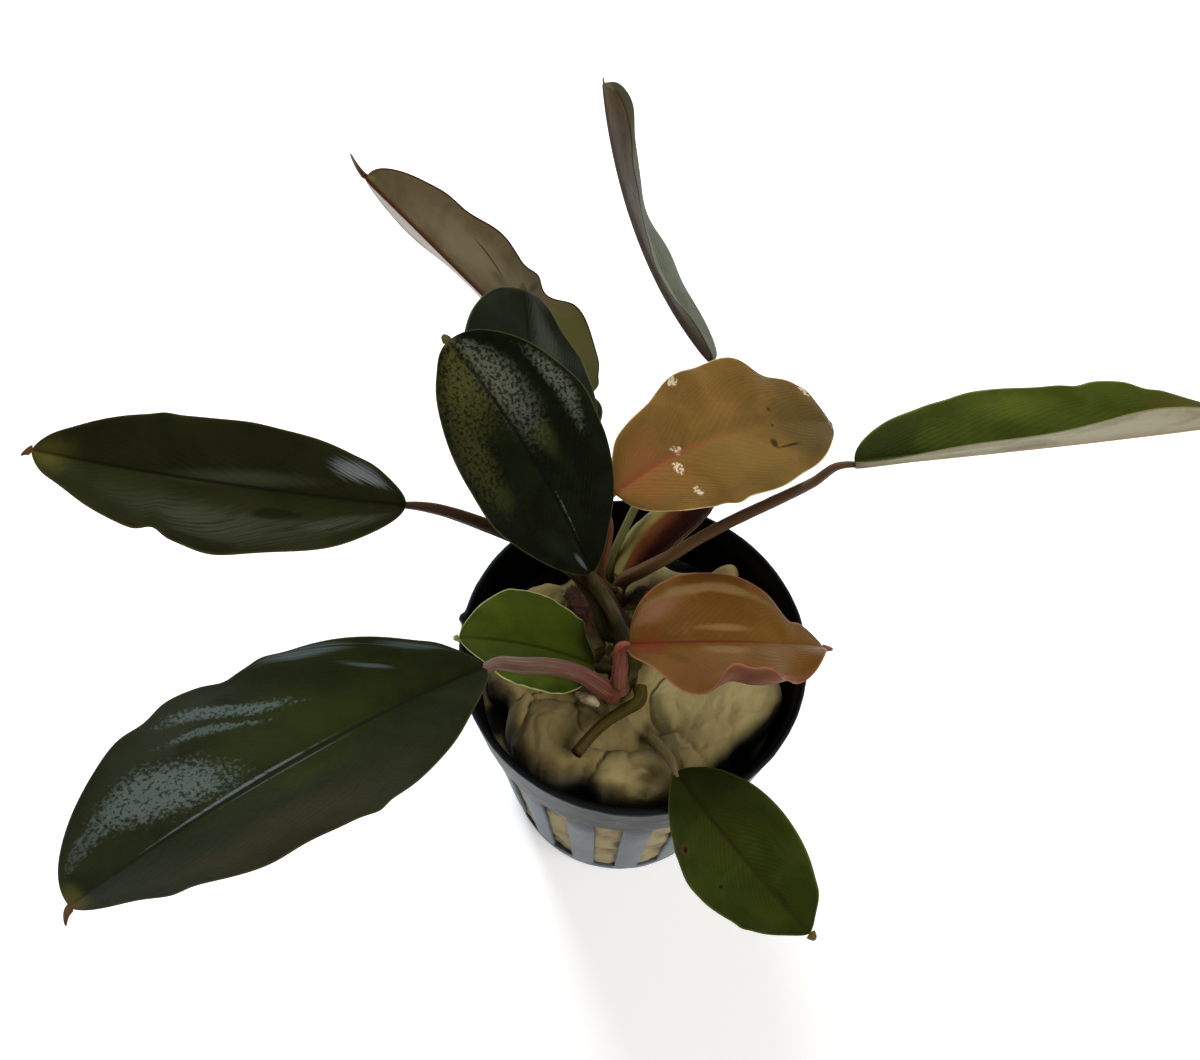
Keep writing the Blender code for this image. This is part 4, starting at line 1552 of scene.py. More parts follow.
UPPER_DARK_LEAF = LeafFinish(
    tint(38, 40, 19), tint(33, 35, 14), tint(88, 78, 56), tint(72, 64, 44), tint(26, 28, 10),
    tint(22, 22, 9), tint(96, 62, 42), tint(62, 50, 26), tint(104, 66, 38), gloss=0.52, patches=(
        # painted sheen above the midrib
        Patch(0.45, 0.13, 0.28, 0.2, tint(66, 70, 50), 0.85, 0.9, lean=-0.6, ragged=0.2,
              grain=Grain.STREAK),
        # painted sheen on the lower half
        Patch(0.45, -0.6, 0.36, 0.36, tint(60, 62, 46), 0.6, 0.8, lean=0.2, ragged=0.6, holes=0.5,
              wet=0.15, grain=Grain.STREAK),
        # painted sheen near the base
        Patch(0.16, -0.56, 0.16, 0.2, tint(66, 68, 56), 0.7, 0.7, ragged=0.6, holes=0.6, wet=0.2,
              grain=Grain.STREAK),
        Patch(0.35, -0.38, 0.09, 0.12, tint(22, 24, 8), 0.85, 0.5),
        Patch(0.52, -0.93, 0.11, 0.14, tint(24, 26, 10), 0.8, 0.5),
        # painted pale blue-grey highlight near the base
        Patch(0.14, 0.67, 0.095, 0.27, tint(130, 138, 140), 0.85, 0.6, ragged=0.8, holes=0.7, wet=0.25,
              grain=Grain.STREAK),
        Patch(0.96, 0.0, 0.11, 1.3, tint(78, 74, 30), 0.8, 0.8)))
LOWER_DARK_LEAF = LeafFinish(
    tint(27, 30, 9), tint(21, 24, 6), tint(88, 78, 56), tint(72, 64, 44), tint(17, 19, 4),
    tint(14, 16, 4), tint(96, 62, 42), tint(56, 44, 22), tint(96, 58, 34), gloss=0.52,
    vein_relief=0.02, vein_show=0.15, patches=(
        Patch(0.45, 0.25, 0.34, 0.5, tint(38, 44, 10), 0.6, 0.9),
        Patch(0.5, -0.2, 0.2, 0.3, tint(36, 44, 8), 0.55, 0.9),
        Patch(0.62, -0.7, 0.4, 0.32, tint(42, 36, 13), 0.6, 0.9),
        Patch(0.68, 0.8, 0.3, 0.3, tint(42, 45, 34), 0.5, 0.9),
        # the next ten patches are painted highlights: pale blue-grey beaded and streaked reflections, and
        # two thin lines along the midrib
        Patch(0.74, 0.42, 0.15, 0.3, tint(84, 93, 86), 0.65, 0.6, lean=1.4, ragged=0.7, holes=0.45,
              wet=0.15, grain=Grain.BEAD),
        Patch(0.66, 0.25, 0.09, 0.2, tint(70, 78, 74), 0.5, 0.8, lean=1.4, ragged=0.9, holes=0.8, wet=0.1,
              grain=Grain.BEAD),
        Patch(0.9, 0.62, 0.06, 0.16, tint(66, 72, 68), 0.6, 0.6, lean=1.0, ragged=0.8, holes=0.8, wet=0.2,
              grain=Grain.BEAD),
        Patch(0.53, 0.67, 0.14, 0.08, tint(78, 89, 84), 0.65, 0.6, lean=1.67, ragged=0.9, holes=0.5,
              wet=0.22, grain=Grain.BEAD),
        Patch(0.58, 0.58, 0.11, 0.05, tint(74, 84, 78), 0.6, 0.6, lean=1.44, ragged=0.9, holes=0.5,
              wet=0.2, grain=Grain.BEAD),
        Patch(0.33, 0.93, 0.12, 0.09, tint(74, 84, 84), 0.7, 0.8, lean=0.4, ragged=0.6, holes=0.4, wet=0.2,
              grain=Grain.STREAK),
        Patch(0.13, 0.85, 0.1, 0.1, tint(66, 76, 76), 0.6, 0.8, lean=0.4, ragged=0.6, holes=0.4, wet=0.2,
              grain=Grain.STREAK),
        Patch(0.24, 0.6, 0.06, 0.05, tint(70, 80, 80), 0.6, 0.7, lean=2.2, ragged=0.6, holes=0.4, wet=0.2,
              grain=Grain.STREAK),
        Patch(0.62, 0.03, 0.25, 0.018, tint(98, 108, 106), 0.55, 0.6, ragged=0.3, holes=0.3, wet=0.2,
              grain=Grain.STREAK),
        Patch(0.52, -0.05, 0.2, 0.014, tint(84, 94, 92), 0.45, 0.6, ragged=0.3, holes=0.3, wet=0.2,
              grain=Grain.STREAK),
        Patch(0.98, 0.0, 0.035, 1.5, tint(66, 62, 22), 0.7, 0.8)))
CENTRE_LEAF = LeafFinish(
    tint(9, 13, 2), tint(18, 23, 5), tint(84, 80, 52), tint(66, 64, 38), tint(7, 10, 1),
    tint(6, 9, 1), tint(90, 70, 40), tint(66, 66, 34), tint(96, 90, 56), gloss=0.42, pebble=0.09,
    vein_show=0.12, margin_width=0.22, patches=(
        Patch(0.88, -0.35, 0.26, 0.8, tint(80, 77, 38), 0.65, 0.9, ragged=0.4, holes=0.6, wet=0.1,
              grain=Grain.BEAD),
        Patch(0.62, -0.72, 0.26, 0.34, tint(64, 63, 32), 0.6, 0.9, ragged=0.4, holes=0.6, wet=0.1,
              grain=Grain.BEAD),
        Patch(0.54, 0.27, 0.09, 0.17, tint(48, 54, 14), 0.6, 0.9),
        Patch(0.47, -0.66, 0.08, 0.18, tint(44, 50, 14), 0.6, 0.9),
        Patch(0.2, -0.5, 0.14, 0.3, tint(28, 34, 16), 0.6, 0.9),
        # the next four patches are painted highlights: beaded grey sheen right of the midrib, pale spots, a
        # dashed line along the midrib and a bluish one at the base
        Patch(0.8, 0.25, 0.32, 0.38, tint(98, 102, 86), 0.7, 0.9, lean=0.3, ragged=0.4, holes=0.7,
              wet=0.15, grain=Grain.BEAD),
        Patch(0.66, 0.8, 0.2, 0.15, tint(96, 102, 86), 0.75, 0.8, lean=0.4, holes=0.6, wet=0.15,
              grain=Grain.BEAD),
        Patch(0.25, 0.04, 0.14, 0.025, tint(104, 108, 92), 0.6, 0.6, ragged=0.4, holes=0.8, wet=0.1,
              grain=Grain.BEAD),
        Patch(0.07, -0.27, 0.06, 0.12, tint(96, 106, 112), 0.7, 0.6, ragged=0.4, holes=0.2, wet=0.2)))
BEHIND_LEAF = LeafFinish(
    tint(25, 29, 18), tint(32, 36, 24), tint(84, 80, 60), tint(66, 64, 46), tint(20, 24, 12),
    tint(14, 18, 9), tint(90, 70, 50), tint(72, 78, 52), tint(90, 80, 50), gloss=0.5, pebble=0.05,
    # the first patch is a painted grey sheen
    patches=(Patch(0.8, 0.35, 0.22, 0.34, tint(58, 62, 50), 0.8, 0.8, grain=Grain.STREAK),
             Patch(0.66, 0.85, 0.14, 0.2, tint(14, 16, 8), 0.8, 0.7)))
TAUPE_LEAF = LeafFinish(
    tint(46, 52, 24), tint(58, 62, 34), tint(112, 98, 68), tint(100, 86, 58), tint(40, 44, 20),
    tint(38, 42, 18), tint(84, 44, 28), tint(74, 36, 24), tint(150, 128, 104), gloss=0.45,
    vein_show=0.1, vein_relief=0.02, margin_width=0.4, patches=(
        Patch(0.76, 0.5, 0.5, 0.55, tint(196, 186, 172), 0.9, 0.5, face=Face.UNDER),
        Patch(0.6, -0.4, 0.3, 0.6, tint(146, 132, 102), 0.6, 0.9, face=Face.UNDER),
        Patch(0.14, -0.65, 0.2, 0.6, tint(96, 94, 42), 0.9, 0.5, face=Face.UNDER),
        Patch(0.52, -0.57, 0.09, 0.02, tint(58, 42, 26), 0.8, 0.6, lean=-1.06, face=Face.UNDER),
        Patch(0.46, -0.42, 0.05, 0.12, tint(70, 56, 36), 0.5, 0.9, face=Face.UNDER),
        Patch(0.37, -0.8, 0.012, 0.25, tint(56, 40, 24), 0.5, 0.7, ragged=0.1, face=Face.UNDER),
        Patch(0.945, -0.3, 0.025, 0.25, tint(122, 118, 52), 0.9, 0.7, face=Face.UNDER),
        Patch(1.0, 0.0, 0.03, 1.0, tint(150, 112, 88), 0.9, 0.7, face=Face.UNDER),
        Patch(0.975, -0.3, 0.01, 0.16, tint(20, 14, 8), 1.0, 0.5, ragged=0.1, face=Face.UNDER)))
TOP_LEAF = LeafFinish(
    tint(74, 78, 56), tint(90, 94, 74), tint(110, 98, 78), tint(92, 81, 63), tint(52, 54, 37),
    tint(60, 60, 40), tint(80, 40, 28), tint(70, 46, 30), tint(110, 84, 56), gloss=0.45,
    vein_show=0.6, vein_count=30.0, margin_width=0.3, patches=(
        Patch(0.95, -0.3, 0.12, 1.2, tint(104, 80, 42), 0.85, 0.8, grain=Grain.STREAK, face=Face.UNDER),
        Patch(0.93, 0.6, 0.04, 0.14, tint(38, 46, 20), 0.85, 0.7)))
RIGHT_LEAF = LeafFinish(
    tint(64, 72, 20), tint(54, 60, 14), tint(152, 146, 120), tint(128, 122, 96), tint(54, 62, 14),
    tint(52, 58, 16), tint(140, 120, 90), tint(120, 112, 70), tint(140, 120, 80), gloss=0.46,
    vein_show=0.2, patches=(
        Patch(0.05, 0.0, 0.16, 1.4, tint(40, 46, 12), 0.8),
        Patch(0.4, -0.67, 0.16, 0.3, tint(80, 88, 28), 0.6, 0.8),
        Patch(0.82, -0.6, 0.14, 0.6, tint(74, 66, 26), 0.6, 0.8),
        Patch(0.8, 0.85, 0.02, 0.12, tint(70, 46, 20), 0.9, 0.5, lean=0.6, ragged=0.8, grain=Grain.BEAD)))
# painted highlights: small pale beaded glints on the amber leaf
AMBER_PAINTED_GLINTS = tuple(
    Patch(along, across, long, wide, tint(*colour), 0.9, 0.4, lean=1.0, ragged=0.9, holes=holes, wet=0.2,
          grain=Grain.BEAD)
    for along, across, long, wide, colour, holes in (
        (0.29, -0.06, 0.022, 0.1, (225, 200, 170), 0.85), (0.26, 0.22, 0.02, 0.12, (225, 200, 170), 0.85),
        (0.28, 0.69, 0.018, 0.1, (220, 196, 166), 0.85), (0.39, -0.92, 0.02, 0.07, (212, 190, 160), 0.8),
        (0.92, -0.86, 0.02, 0.1, (212, 190, 160), 0.8)))
AMBER_LEAF = LeafFinish(
    tint(120, 90, 44), tint(108, 80, 36), tint(120, 88, 52), tint(106, 76, 44), tint(98, 70, 32),
    tint(136, 70, 46), tint(120, 60, 40), tint(186, 164, 118), tint(160, 130, 80), gloss=0.4,
    vein_show=0.28, midrib_fade=0.5, pebble=0.04, margin_width=0.22, patches=(
        Patch(0.1, 0.0, 0.24, 1.1, tint(132, 84, 44), 0.8, 0.9),
        Patch(0.9, 0.0, 0.42, 1.6, tint(80, 64, 32), 0.85, 0.8),
        Patch(0.55, 0.85, 0.26, 0.3, tint(96, 76, 36), 0.6, 0.8),
        Patch(0.5, 0.3, 0.16, 0.5, tint(112, 88, 46), 0.6, 0.9),
        Patch(0.675, 0.36, 0.022, 0.13, tint(44, 32, 12), 0.9, 0.6, ragged=0.4),
        Patch(0.73, 0.47, 0.075, 0.035, tint(44, 32, 12), 0.9, 0.6, lean=0.4, ragged=0.4),
        # two small dark marks where the blade is dented: painted shade
        Patch(0.725, -0.25, 0.014, 0.05, tint(50, 36, 16), 0.8, 0.6),
        Patch(0.715, 0.03, 0.012, 0.05, tint(50, 36, 16), 0.8, 0.6),
        *AMBER_PAINTED_GLINTS))
LOW_AMBER_LEAF = LeafFinish(
    tint(88, 56, 16), tint(98, 66, 26), tint(112, 70, 52), tint(100, 62, 44), tint(74, 44, 12),
    tint(84, 32, 18), tint(110, 56, 40), tint(138, 84, 60), tint(124, 72, 52), gloss=0.4,
    vein_show=0.25, pebble=0.03, midrib_width=0.5, midrib_fade=0.7, patches=(
        Patch(0.12, -0.6, 0.18, 0.34, tint(116, 80, 52), 0.85, 0.7),
        Patch(0.42, -0.76, 0.4, 0.11, tint(120, 94, 56), 0.85, 0.6),
        Patch(0.46, -0.2, 0.17, 0.07, tint(118, 90, 50), 0.75, 0.7),
        Patch(0.43, 0.2, 0.15, 0.1, tint(116, 84, 48), 0.75, 0.7),
        Patch(0.08, 0.15, 0.16, 0.6, tint(104, 44, 24), 0.85, 0.8),
        Patch(0.3, 0.7, 0.22, 0.3, tint(104, 64, 28), 0.7, 0.8),
        Patch(0.47, 0.56, 0.02, 0.05, tint(60, 32, 14), 0.8, 0.7),
        Patch(0.62, 0.92, 0.24, 0.1, tint(120, 74, 52), 0.8, 0.8)))
SMALL_LEAF = LeafFinish(
    tint(62, 72, 16), tint(54, 64, 12), tint(90, 92, 44), tint(78, 80, 36), tint(44, 54, 8),
    tint(38, 46, 6), tint(90, 80, 40), tint(168, 168, 110), tint(150, 150, 90), gloss=0.45,
    vein_show=0.2, margin_width=0.22, patches=(Patch(0.08, 0.6, 0.14, 0.6, tint(36, 42, 8), 0.8, 0.9),))
BOTTOM_LEAF = LeafFinish(
    tint(44, 51, 10), tint(53, 60, 16), tint(80, 84, 36), tint(68, 70, 28), tint(26, 33, 4),
    tint(44, 40, 12), tint(90, 80, 40), tint(78, 82, 40), tint(110, 100, 50), gloss=0.45,
    vein_show=0.45, vein_count=30.0, patches=(
        Patch(0.8, -0.03, 0.09, 0.14, tint(26, 30, 4), 0.7, 0.8),
        Patch(0.33, 0.76, 0.034, 0.12, tint(74, 54, 22), 0.9, 0.4, ragged=0.15),
        Patch(0.33, 0.76, 0.017, 0.06, tint(20, 16, 6), 0.95, 0.5, ragged=0.15),
        Patch(0.57, 0.61, 0.012, 0.05, tint(24, 22, 6), 0.85, 0.6, ragged=0.2)))

LEFT_UPPER = Leaf(
    "left_upper", base=(-31.9, 3.9, 71.5), heading=187, rise=12, length=46.3, width=18.2, droop=10,
    sway=-14.4, roll=-18.9, twist=16.1, widest=0.47, base_round=0.65, tip_round=0.66,
    finish=UPPER_DARK_LEAF, hook=(0.0, -0.9, 0.0),
    left=Margin(fold=13.3, ripple=0.04, phase=250, wave=8.1, waves=3, swells=((0.08, -0.061, 0.16),
                (0.51, 0.052, 0.07), (0.65, -0.118, 0.03), (0.74, 0.117, 0.11), (0.76, -0.058, 0.07),
                (0.97, 0.19, 0.045))),
    right=Margin(fold=32.2, ripple=0.053, phase=231, wave=8.6, swells=((0.1, 0.061, 0.045),
                 (0.35, -0.09, 0.16), (0.44, 0.025, 0.07), (0.67, 0.031, 0.03), (0.72, -0.05, 0.16),
                 (0.97, 0.102, 0.045))))
LEFT_LOWER = Leaf(
    "left_lower", base=(-18.6, -13.1, 62.3), heading=229, rise=16, length=56.4, width=32.7, droop=7,
    sway=12, roll=11.7, twist=27.5, widest=0.59, base_round=0.49, tip_round=0.52, finish=LOWER_DARK_LEAF,
    point=1.5, hook=(0.9, -0.6, -0.4),
    left=Margin(fold=18.6, ripple=0.021, phase=161, wave=7.2, swells=((0.15, -0.254, 0.16),
                (0.18, 0.176, 0.11), (0.49, 0.049, 0.03), (0.64, -0.061, 0.07), (0.89, 0.127, 0.03),
                (0.91, -0.051, 0.11))),
    right=Margin(fold=7, ripple=0.02, phase=-29, wave=11, swells=((0.07, 0.067, 0.03), (0.24, -0.013, 0.16),
                 (0.41, 0.038, 0.03), (0.5, -0.041, 0.03), (0.68, -0.062, 0.045), (0.89, 0.02, 0.07))))
CENTRE = Leaf(
    "centre", base=(-7.1, 4.0, 60.0), heading=146, rise=48.3, length=38.5, width=21, droop=27, sway=7.9,
    roll=-5.6, twist=7.3, widest=0.56, base_round=0.594, tip_round=0.476, finish=CENTRE_LEAF,
    left=Margin(fold=7.8, ripple=0.021, phase=134, wave=7.6, swells=((0.44, -0.054, 0.16),
                (0.44, 0.04, 0.11), (0.83, -0.04, 0.16), (0.97, -0.102, 0.045))),
    right=Margin(fold=9.4, ripple=0.011, phase=17, wave=7.0, swells=((0.12, -0.1, 0.11),
                 (0.41, 0.024, 0.11), (0.51, -0.015, 0.045), (0.74, -0.087, 0.11), (0.75, 0.108, 0.16))))
BEHIND = Leaf(
    "behind", base=(-13.2, 8.6, 58.2), heading=107, rise=30.7, length=36.5, width=23.8, droop=23.9, sway=-4,
    roll=27, twist=17.6, widest=0.54, base_round=0.554, tip_round=0.336, finish=BEHIND_LEAF,
    left=Margin(fold=-2.2, ripple=0.042, phase=146, wave=8.6, swells=((0.89, 0.028, 0.07),)),
    right=Margin(fold=-14.6, ripple=0.038, phase=42, wave=9.9, swells=((0.52, 0.038, 0.045),
                 (0.77, 0.101, 0.07), (0.93, -0.067, 0.07))))
UPPER_LEFT = Leaf(
    "upper_left", base=(-12.2, 38.6, 54.5), heading=155, rise=29.1, length=46.3, width=21.1, droop=11,
    sway=-7.2, roll=88.1, twist=18.4, widest=0.386, base_round=0.505, tip_round=0.416, finish=TAUPE_LEAF,
    point=3.4, hook=(0.2, 0.6, 1.0),
    left=Margin(fold=15.5, ripple=0.044, phase=217, wave=11.4, waves=3, swells=((0.03, -0.164, 0.03),
                (0.19, -0.032, 0.07), (0.19, 0.139, 0.11), (0.31, -0.08, 0.035), (0.4, 0.12, 0.035),
                (0.76, 0.14, 0.07)), curls=((0.35, -14, 0.045),)),
    right=Margin(fold=23, ripple=0.032, phase=79, wave=9.2))
TOP = Leaf(
    "top", base=(5.9, 40.6, 64.3), heading=123.6, rise=28.6, length=45.7, width=16.6, droop=-55, sway=-16.5,
    roll=71.7, twist=13.6, widest=0.465, base_round=0.67, tip_round=0.25, finish=TOP_LEAF,
    left=Margin(fold=10.2, ripple=0.031, phase=159, wave=4.8, waves=3, curls=((0.1, 4, 0.09),
                (0.22, -18, 0.09), (0.34, -22, 0.09), (0.46, -6, 0.09), (0.58, -5, 0.09), (0.82, 21, 0.09),
                (0.94, 26, 0.09))),
    right=Margin(fold=29.9, ripple=0.031, phase=186, wave=6.2, waves=4, curls=((0.1, 3, 0.09),
                 (0.22, -9, 0.09), (0.34, -3, 0.09), (0.46, -11, 0.09), (0.58, -16, 0.09), (0.7, -13, 0.09),
                 (0.82, 9, 0.09), (0.94, 37, 0.09))))
RIGHT = Leaf(
    "right", base=(26.2, 20.9, 70.6), heading=12.3, rise=6.6, length=56, width=19.1, droop=13.4, sway=10.4,
    roll=-30.7, twist=-34.4, widest=0.45, base_round=0.55, tip_round=0.76, finish=RIGHT_LEAF,
    left=Margin(fold=32.9, ripple=0.049, phase=-14, wave=11.2, swells=((0.19, -0.154, 0.07),
                (0.19, 0.074, 0.045), (0.4, 0.028, 0.07), (0.57, -0.057, 0.03), (0.74, -0.087, 0.03),
                (0.76, 0.101, 0.11))),
    right=Margin(fold=38.5, ripple=0.033, phase=4, wave=8))
AMBER_UPPER = Leaf(
    "amber_upper", base=(-5.3, 13.1, 66.9), heading=34, rise=-6.4, length=36.2, width=21.6, droop=30.2,
    sway=-27.7, roll=8.5, twist=-43.2, widest=0.573, base_round=0.385, tip_round=0.536, finish=AMBER_LEAF,
    point=0.3,
    left=Margin(fold=11, ripple=0.052, phase=248, wave=12.9, waves=4, swells=((0.03, -0.089, 0.03),
                (0.1, 0.066, 0.045), (0.33, -0.024, 0.11), (0.54, 0.071, 0.07), (0.78, -0.065, 0.11),
                (0.95, 0.174, 0.03))),
    right=Margin(fold=5.6, ripple=0.028, phase=256, wave=8.5, waves=4, swells=((0.06, 0.118, 0.16),
                 (0.12, -0.081, 0.07), (0.35, -0.033, 0.03), (0.41, 0.026, 0.03), (0.58, -0.023, 0.07),
                 (0.96, -0.082, 0.07))))
AMBER_LOWER = Leaf(
    "amber_lower", base=(-0.7, -4.9, 57.9), heading=11.1, rise=-6.1, length=27.7, width=22.9, droop=35.2,
    sway=9, roll=-11.5, twist=-12.1, widest=0.416, base_round=0.513, tip_round=0.675, finish=LOW_AMBER_LEAF,
    point=1.6,
    left=Margin(fold=5.8, ripple=0.023, phase=29, wave=8.8, swells=((0.03, 0.041, 0.045),
                (0.19, -0.018, 0.045), (0.4, 0.045, 0.11), (0.8, 0.077, 0.11), (0.85, -0.33, 0.05))),
    right=Margin(fold=40, ripple=-0.065, phase=140, wave=0, swells=((0.2, 0.05, 0.09), (0.4, 0.327, 0.09),
                 (0.55, 0.383, 0.09), (0.7, -0.141, 0.09), (0.85, 0.087, 0.09)), curls=((0.3, -60, 0.12),
                 (0.5, -60, 0.12), (0.65, -38, 0.12), (0.8, -60, 0.12)), hems=((0.3, 53, 0.08),
                 (0.42, 155, 0.08), (0.54, 166, 0.08), (0.66, 51, 0.08), (0.78, -20, 0.08))))
SMALL_GREEN = Leaf(
    "small_green", base=(-5.0, -4.7, 49.6), heading=187, rise=21.3, length=20.2, width=17.5, droop=12.9,
    sway=17.7, roll=10.3, twist=5.1, widest=0.53, base_round=0.643, tip_round=0.61, finish=SMALL_LEAF,
    point=0.8,
    left=Margin(fold=10.7, ripple=0.033, phase=-10, wave=7.1, waves=4, swells=((0.09, 0.237, 0.16),
                (0.38, 0.046, 0.045), (0.52, -0.074, 0.07), (0.65, 0.032, 0.03), (0.93, -0.1, 0.16))),
    right=Margin(fold=7.8, ripple=0.015, phase=251, wave=6.1, waves=4, swells=((0.14, 0.203, 0.03),
                 (0.21, 0.121, 0.11), (0.42, -0.032, 0.045), (0.54, 0.031, 0.045), (0.95, -0.15, 0.11))))
BOTTOM = Leaf(
    "bottom", base=(7.9, -18.6, 49.4), heading=314, rise=4.9, length=27.2, width=15.3, droop=17.8,
    sway=11.2, roll=23.2, twist=-5.5, widest=0.523, base_round=0.586, tip_round=0.675, finish=BOTTOM_LEAF,
    left=Margin(fold=8.2, ripple=0.029, phase=225, wave=7.7, swells=((0.16, 0.193, 0.16),
                (0.21, -0.092, 0.11), (0.51, 0.047, 0.16), (0.91, 0.091, 0.045), (0.97, -0.081, 0.03),
                (0.97, 0.122, 0.16))),
    right=Margin(fold=1.6, ripple=0.024, phase=100, wave=8, swells=((0.03, -0.091, 0.11),
                 (0.31, 0.02, 0.03), (0.54, -0.011, 0.045), (0.78, 0.041, 0.03), (0.97, -0.167, 0.07))))
LEAVES = (LEFT_UPPER, LEFT_LOWER, CENTRE, BEHIND, UPPER_LEFT, TOP, RIGHT, AMBER_UPPER, AMBER_LOWER,
          SMALL_GREEN, BOTTOM)

REDDISH = StalkFinish(tint(60, 38, 20), tint(52, 32, 18), tint(30, 16, 8), tint(84, 58, 40), 0.35)
UMBER = StalkFinish(tint(84, 60, 34), tint(84, 62, 42), tint(50, 30, 14), tint(106, 82, 60), 0.35)
DUSKY_PINK = StalkFinish(tint(106, 60, 46), tint(92, 68, 56), tint(58, 32, 22), tint(144, 120, 106), 0.55)
OLIVE_BROWN = StalkFinish(tint(66, 60, 26), tint(52, 46, 18), tint(24, 20, 6), tint(90, 82, 46), 0.4)
ROSE = StalkFinish(tint(96, 66, 44), tint(92, 50, 34), tint(56, 34, 20), tint(126, 92, 66), 0.4)
CORAL = StalkFinish(tint(126, 84, 64), tint(132, 66, 50), tint(70, 36, 22), tint(160, 120, 96), 0.45)
PALE_GREEN = StalkFinish(tint(86, 84, 46), tint(76, 72, 40), tint(50, 46, 20), tint(112, 108, 68), 0.4)
STRAW = StalkFinish(tint(128, 120, 70), tint(140, 124, 84), tint(90, 78, 40), tint(156, 146, 96), 0.4)
STUB_GREEN = StalkFinish(tint(62, 56, 18), tint(68, 56, 20), tint(34, 28, 8), tint(92, 82, 40), 0.45,
                         fleck=0.2, cut=tint(50, 26, 16), cut_from=0.97)

STALKS = (
    Stalk(LEFT_UPPER, 0.55, 35, [(-5.6, 5.3, 53.2), (-12.0, 5.4, 60.4), (-21.3, 5.4, 66.4)],
          1.25, 0.95, REDDISH),
    Stalk(LEFT_LOWER, 0.0, 30, [(-3.5, -8.3, 50.1), (-6.4, -8.6, 54.2), (-10.2, -9.9, 58.3),
                                (-14.2, -11.5, 60.8)], 1.4, 1.15, DUSKY_PINK),
    Stalk(CENTRE, 0.29, 0, [(-2.2, -0.4, 53.5), (-5.0, 2.0, 57.4)], 1.35, 1.0, OLIVE_BROWN),
    Stalk(BEHIND, 0.45, 68, [(-6.5, 4.8, 50.6), (-10.4, 7.0, 54.8)], 1.0, 0.8, OLIVE_BROWN),
    Stalk(UPPER_LEFT, 0.68, 92, [(-6.2, 8.0, 47.1), (-8.3, 13.6, 48.4), (-10.0, 22.0, 50.2),
                                 (-11.2, 31.0, 52.0)], 0.9, 0.8, OLIVE_BROWN),
    Stalk(TOP, 0.9, 95, [(-5.0, 11.3, 47.4), (-5.1, 12.6, 49.4), (-4.2, 14.8, 52.2), (-2.9, 18.0, 54.8),
                         (0.2, 26.5, 57.6), (3.9, 35.2, 60.2)], 0.65, 0.6, PALE_GREEN),
    Stalk(RIGHT, 0.8, 75, [(-3.2, 9.7, 48.2), (-0.3, 10.2, 52.0), (3.1, 11.4, 54.8), (6.3, 13.1, 57.1),
                           (11.0, 15.4, 60.0), (16.2, 17.4, 63.3), (21.4, 19.4, 66.8)], 1.05, 0.85, UMBER),
    Stalk(AMBER_UPPER, 0.8, 110, [(-4.4, 9.2, 45.8), (-5.9, 9.3, 48.6), (-5.9, 9.9, 54.6),
                                  (-5.7, 11.6, 61.0)], 0.85, 0.6, ROSE),
    Stalk(AMBER_LOWER, 0.06, 0, [(-1.4, -7.4, 51.5), (-1.5, -6.6, 54.6)], 1.35, 1.1, CORAL, lead=0.4),
    Stalk(SMALL_GREEN, 0.16, 50, [], 0.8, 0.7, OLIVE_BROWN, lead=0.6))

STUB_PATH: list[Vector] = [(1.6, -5.4, 46.4), (1.9, -7.4, 46.6), (-0.1, -9.6, 47.0), (-2.2, -11.7, 47.4),
                           (-4.0, -14.1, 47.6), (-5.9, -17.3, 47.4)]
BOTTOM_PATH: list[Vector] = [(4.3, -11.4, 42.2), (5.1, -13.2, 45.4), (7.1, -16.4, 47.9),
                             (7.75, -18.0, 48.9)]
SHEATH_PATH: list[Vector] = [(-9.8, 8.6, 46.8), (-7.4, 4.0, 47.0), (-4.8, -0.6, 46.6)]
CREAM_PATH: list[Vector] = [(-7.2, -8.4, 47.4), (-5.3, -8.9, 47.6), (-3.7, -9.4, 46.9)]
GREEN_PATH: list[Vector] = [(-3.6, -1.8, 48.0), (-3.3, -1.4, 49.4), (-3.0, -1.6, 50.6)]
BUD_PATH: list[Vector] = [(-3.3, 7.2, 48.9), (-3.7, 7.2, 49.8), (-4.0, 7.0, 50.8)]
ROLL_PATH: list[Vector] = [(-3.3, 10.0, 48.8), (-1.1, 14.4, 50.6), (2.6, 17.8, 53.4), (8.4, 22.3, 57.4)]

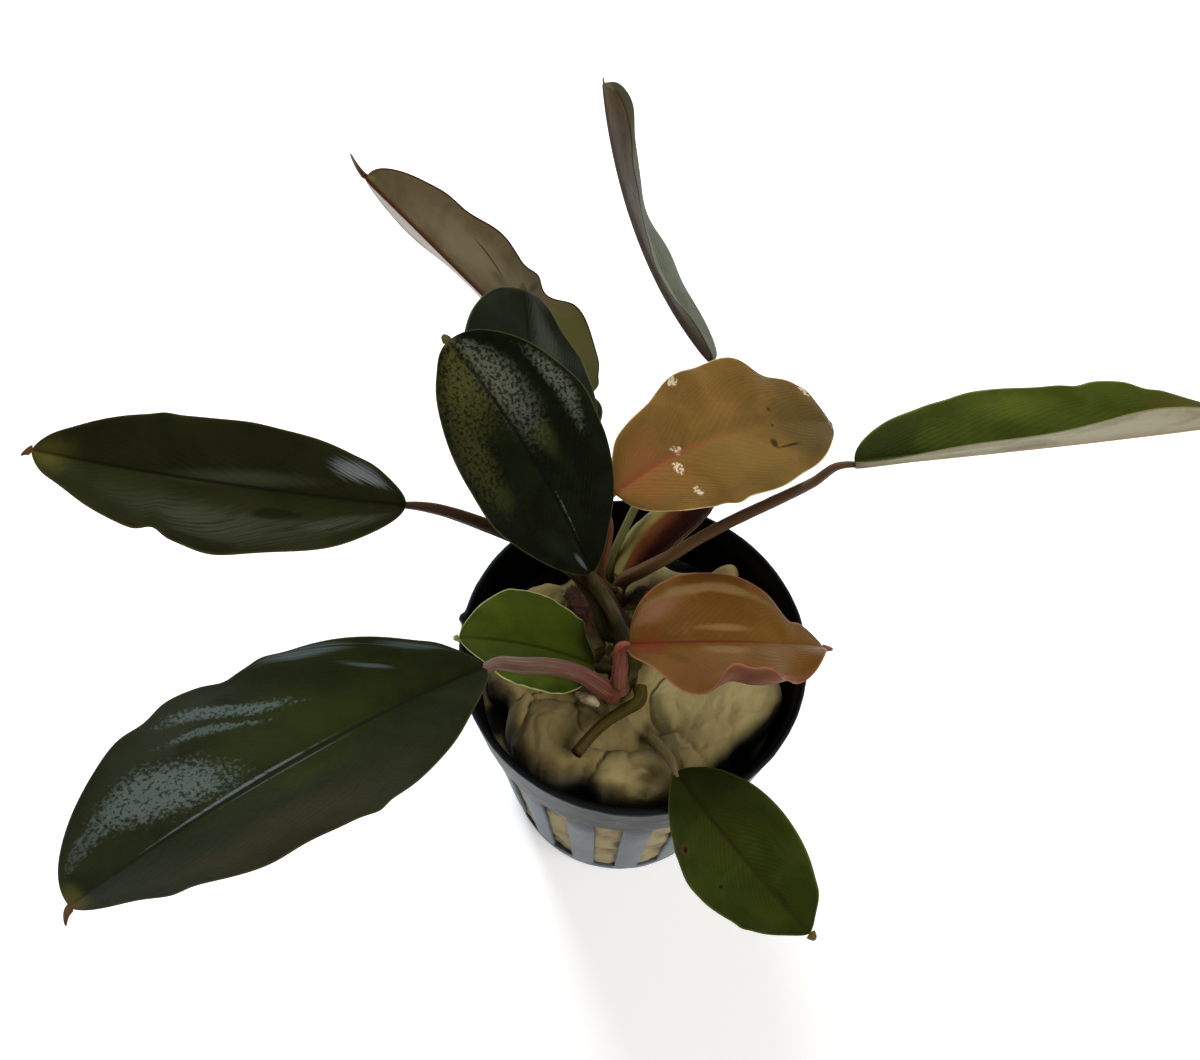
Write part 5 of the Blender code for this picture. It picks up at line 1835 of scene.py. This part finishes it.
SMALL_PIECES = (
    Rod("stalk_skin_bottom", "stalk_bottom", [*BOTTOM_PATH, (8.1, -18.7, 49.15), (8.7, -19.5, 49.25)],
        (0.85, 0.8, 0.75, 0.65, 0.35), STRAW),
    Rod("stub_skin", "cut_stub", STUB_PATH, (1.0, 0.95, 0.88, 0.84, 0.8, 0.78, 0.86), STUB_GREEN,
        grooves=0.03, cup=True),
    Rod("sheath_skin", "brown_sheath", SHEATH_PATH, (1.9, 2.1, 1.6, 1.2, 1.0),
        BarkFinish(tint(80, 46, 30), tint(38, 20, 10), tint(102, 88, 48), 0.5), flat=0.45, lumps=0.22,
        grooves=0.06, ragged=0.9),
    Rod("cream_skin", "cream_scale", CREAM_PATH, (0.3, 0.8, 0.9, 0.8, 0.3),
        BarkFinish(tint(196, 184, 146), tint(150, 130, 96), tint(180, 166, 128)), flat=0.4, lumps=0.2,
        ragged=0.3),
    # the bud's dark far end is painted shade for its opening
    Rod("bud_skin", "bud", BUD_PATH, (0.4, 0.85, 0.95, 0.8, 0.4),
        BarkFinish(tint(112, 84, 50), tint(72, 46, 24), tint(30, 20, 10), 0.75), lumps=0.15, rings=60),
    Rod("rolled_skin", "rolled_leaf", ROLL_PATH, (1.3, 2.4, 3.0, 3.3, 3.3, 3.2, 3.0, 2.4, 1.4),
        RolledFinish(tint(118, 108, 56), tint(90, 48, 24), tint(44, 16, 8), tint(128, 106, 92)), flat=0.5,
        lumps=0.03, grooves=0.0, lip=0.16, sides=64),
    Rod("green_scale", None, GREEN_PATH, (0.75, 0.65, 0.5, 0.2),
        BarkFinish(tint(84, 82, 40), tint(52, 50, 20), tint(110, 106, 60)), flat=0.5, lumps=0.12,
        slot="rhizome"))


def main() -> None:
    """Build every piece round the frame, in order, and write how large the result is."""
    logging.basicConfig(level=logging.INFO, format="%(name)s: %(message)s")
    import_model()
    Studio().build()
    Pot().dress()
    Wool(presses=(Press(RHIZOME_PATH[:3], 2.2), Press(STUB_PATH, 1.2), Press(BOTTOM_PATH[1:], 0.7),
                  Press(SHEATH_PATH, 1.6), Press(CREAM_PATH, 0.8))).dress()
    Rhizome(RHIZOME_PATH, RHIZOME_RADII,
            BarkFinish(tint(70, 66, 26), tint(40, 34, 12), tint(60, 48, 22))).dress()
    for leaf in LEAVES:
        leaf.dress()
    for stalk in STALKS:
        stalk.rod().dress()
    for piece in SMALL_PIECES:
        piece.dress()


if __name__ == "__main__":
    main()
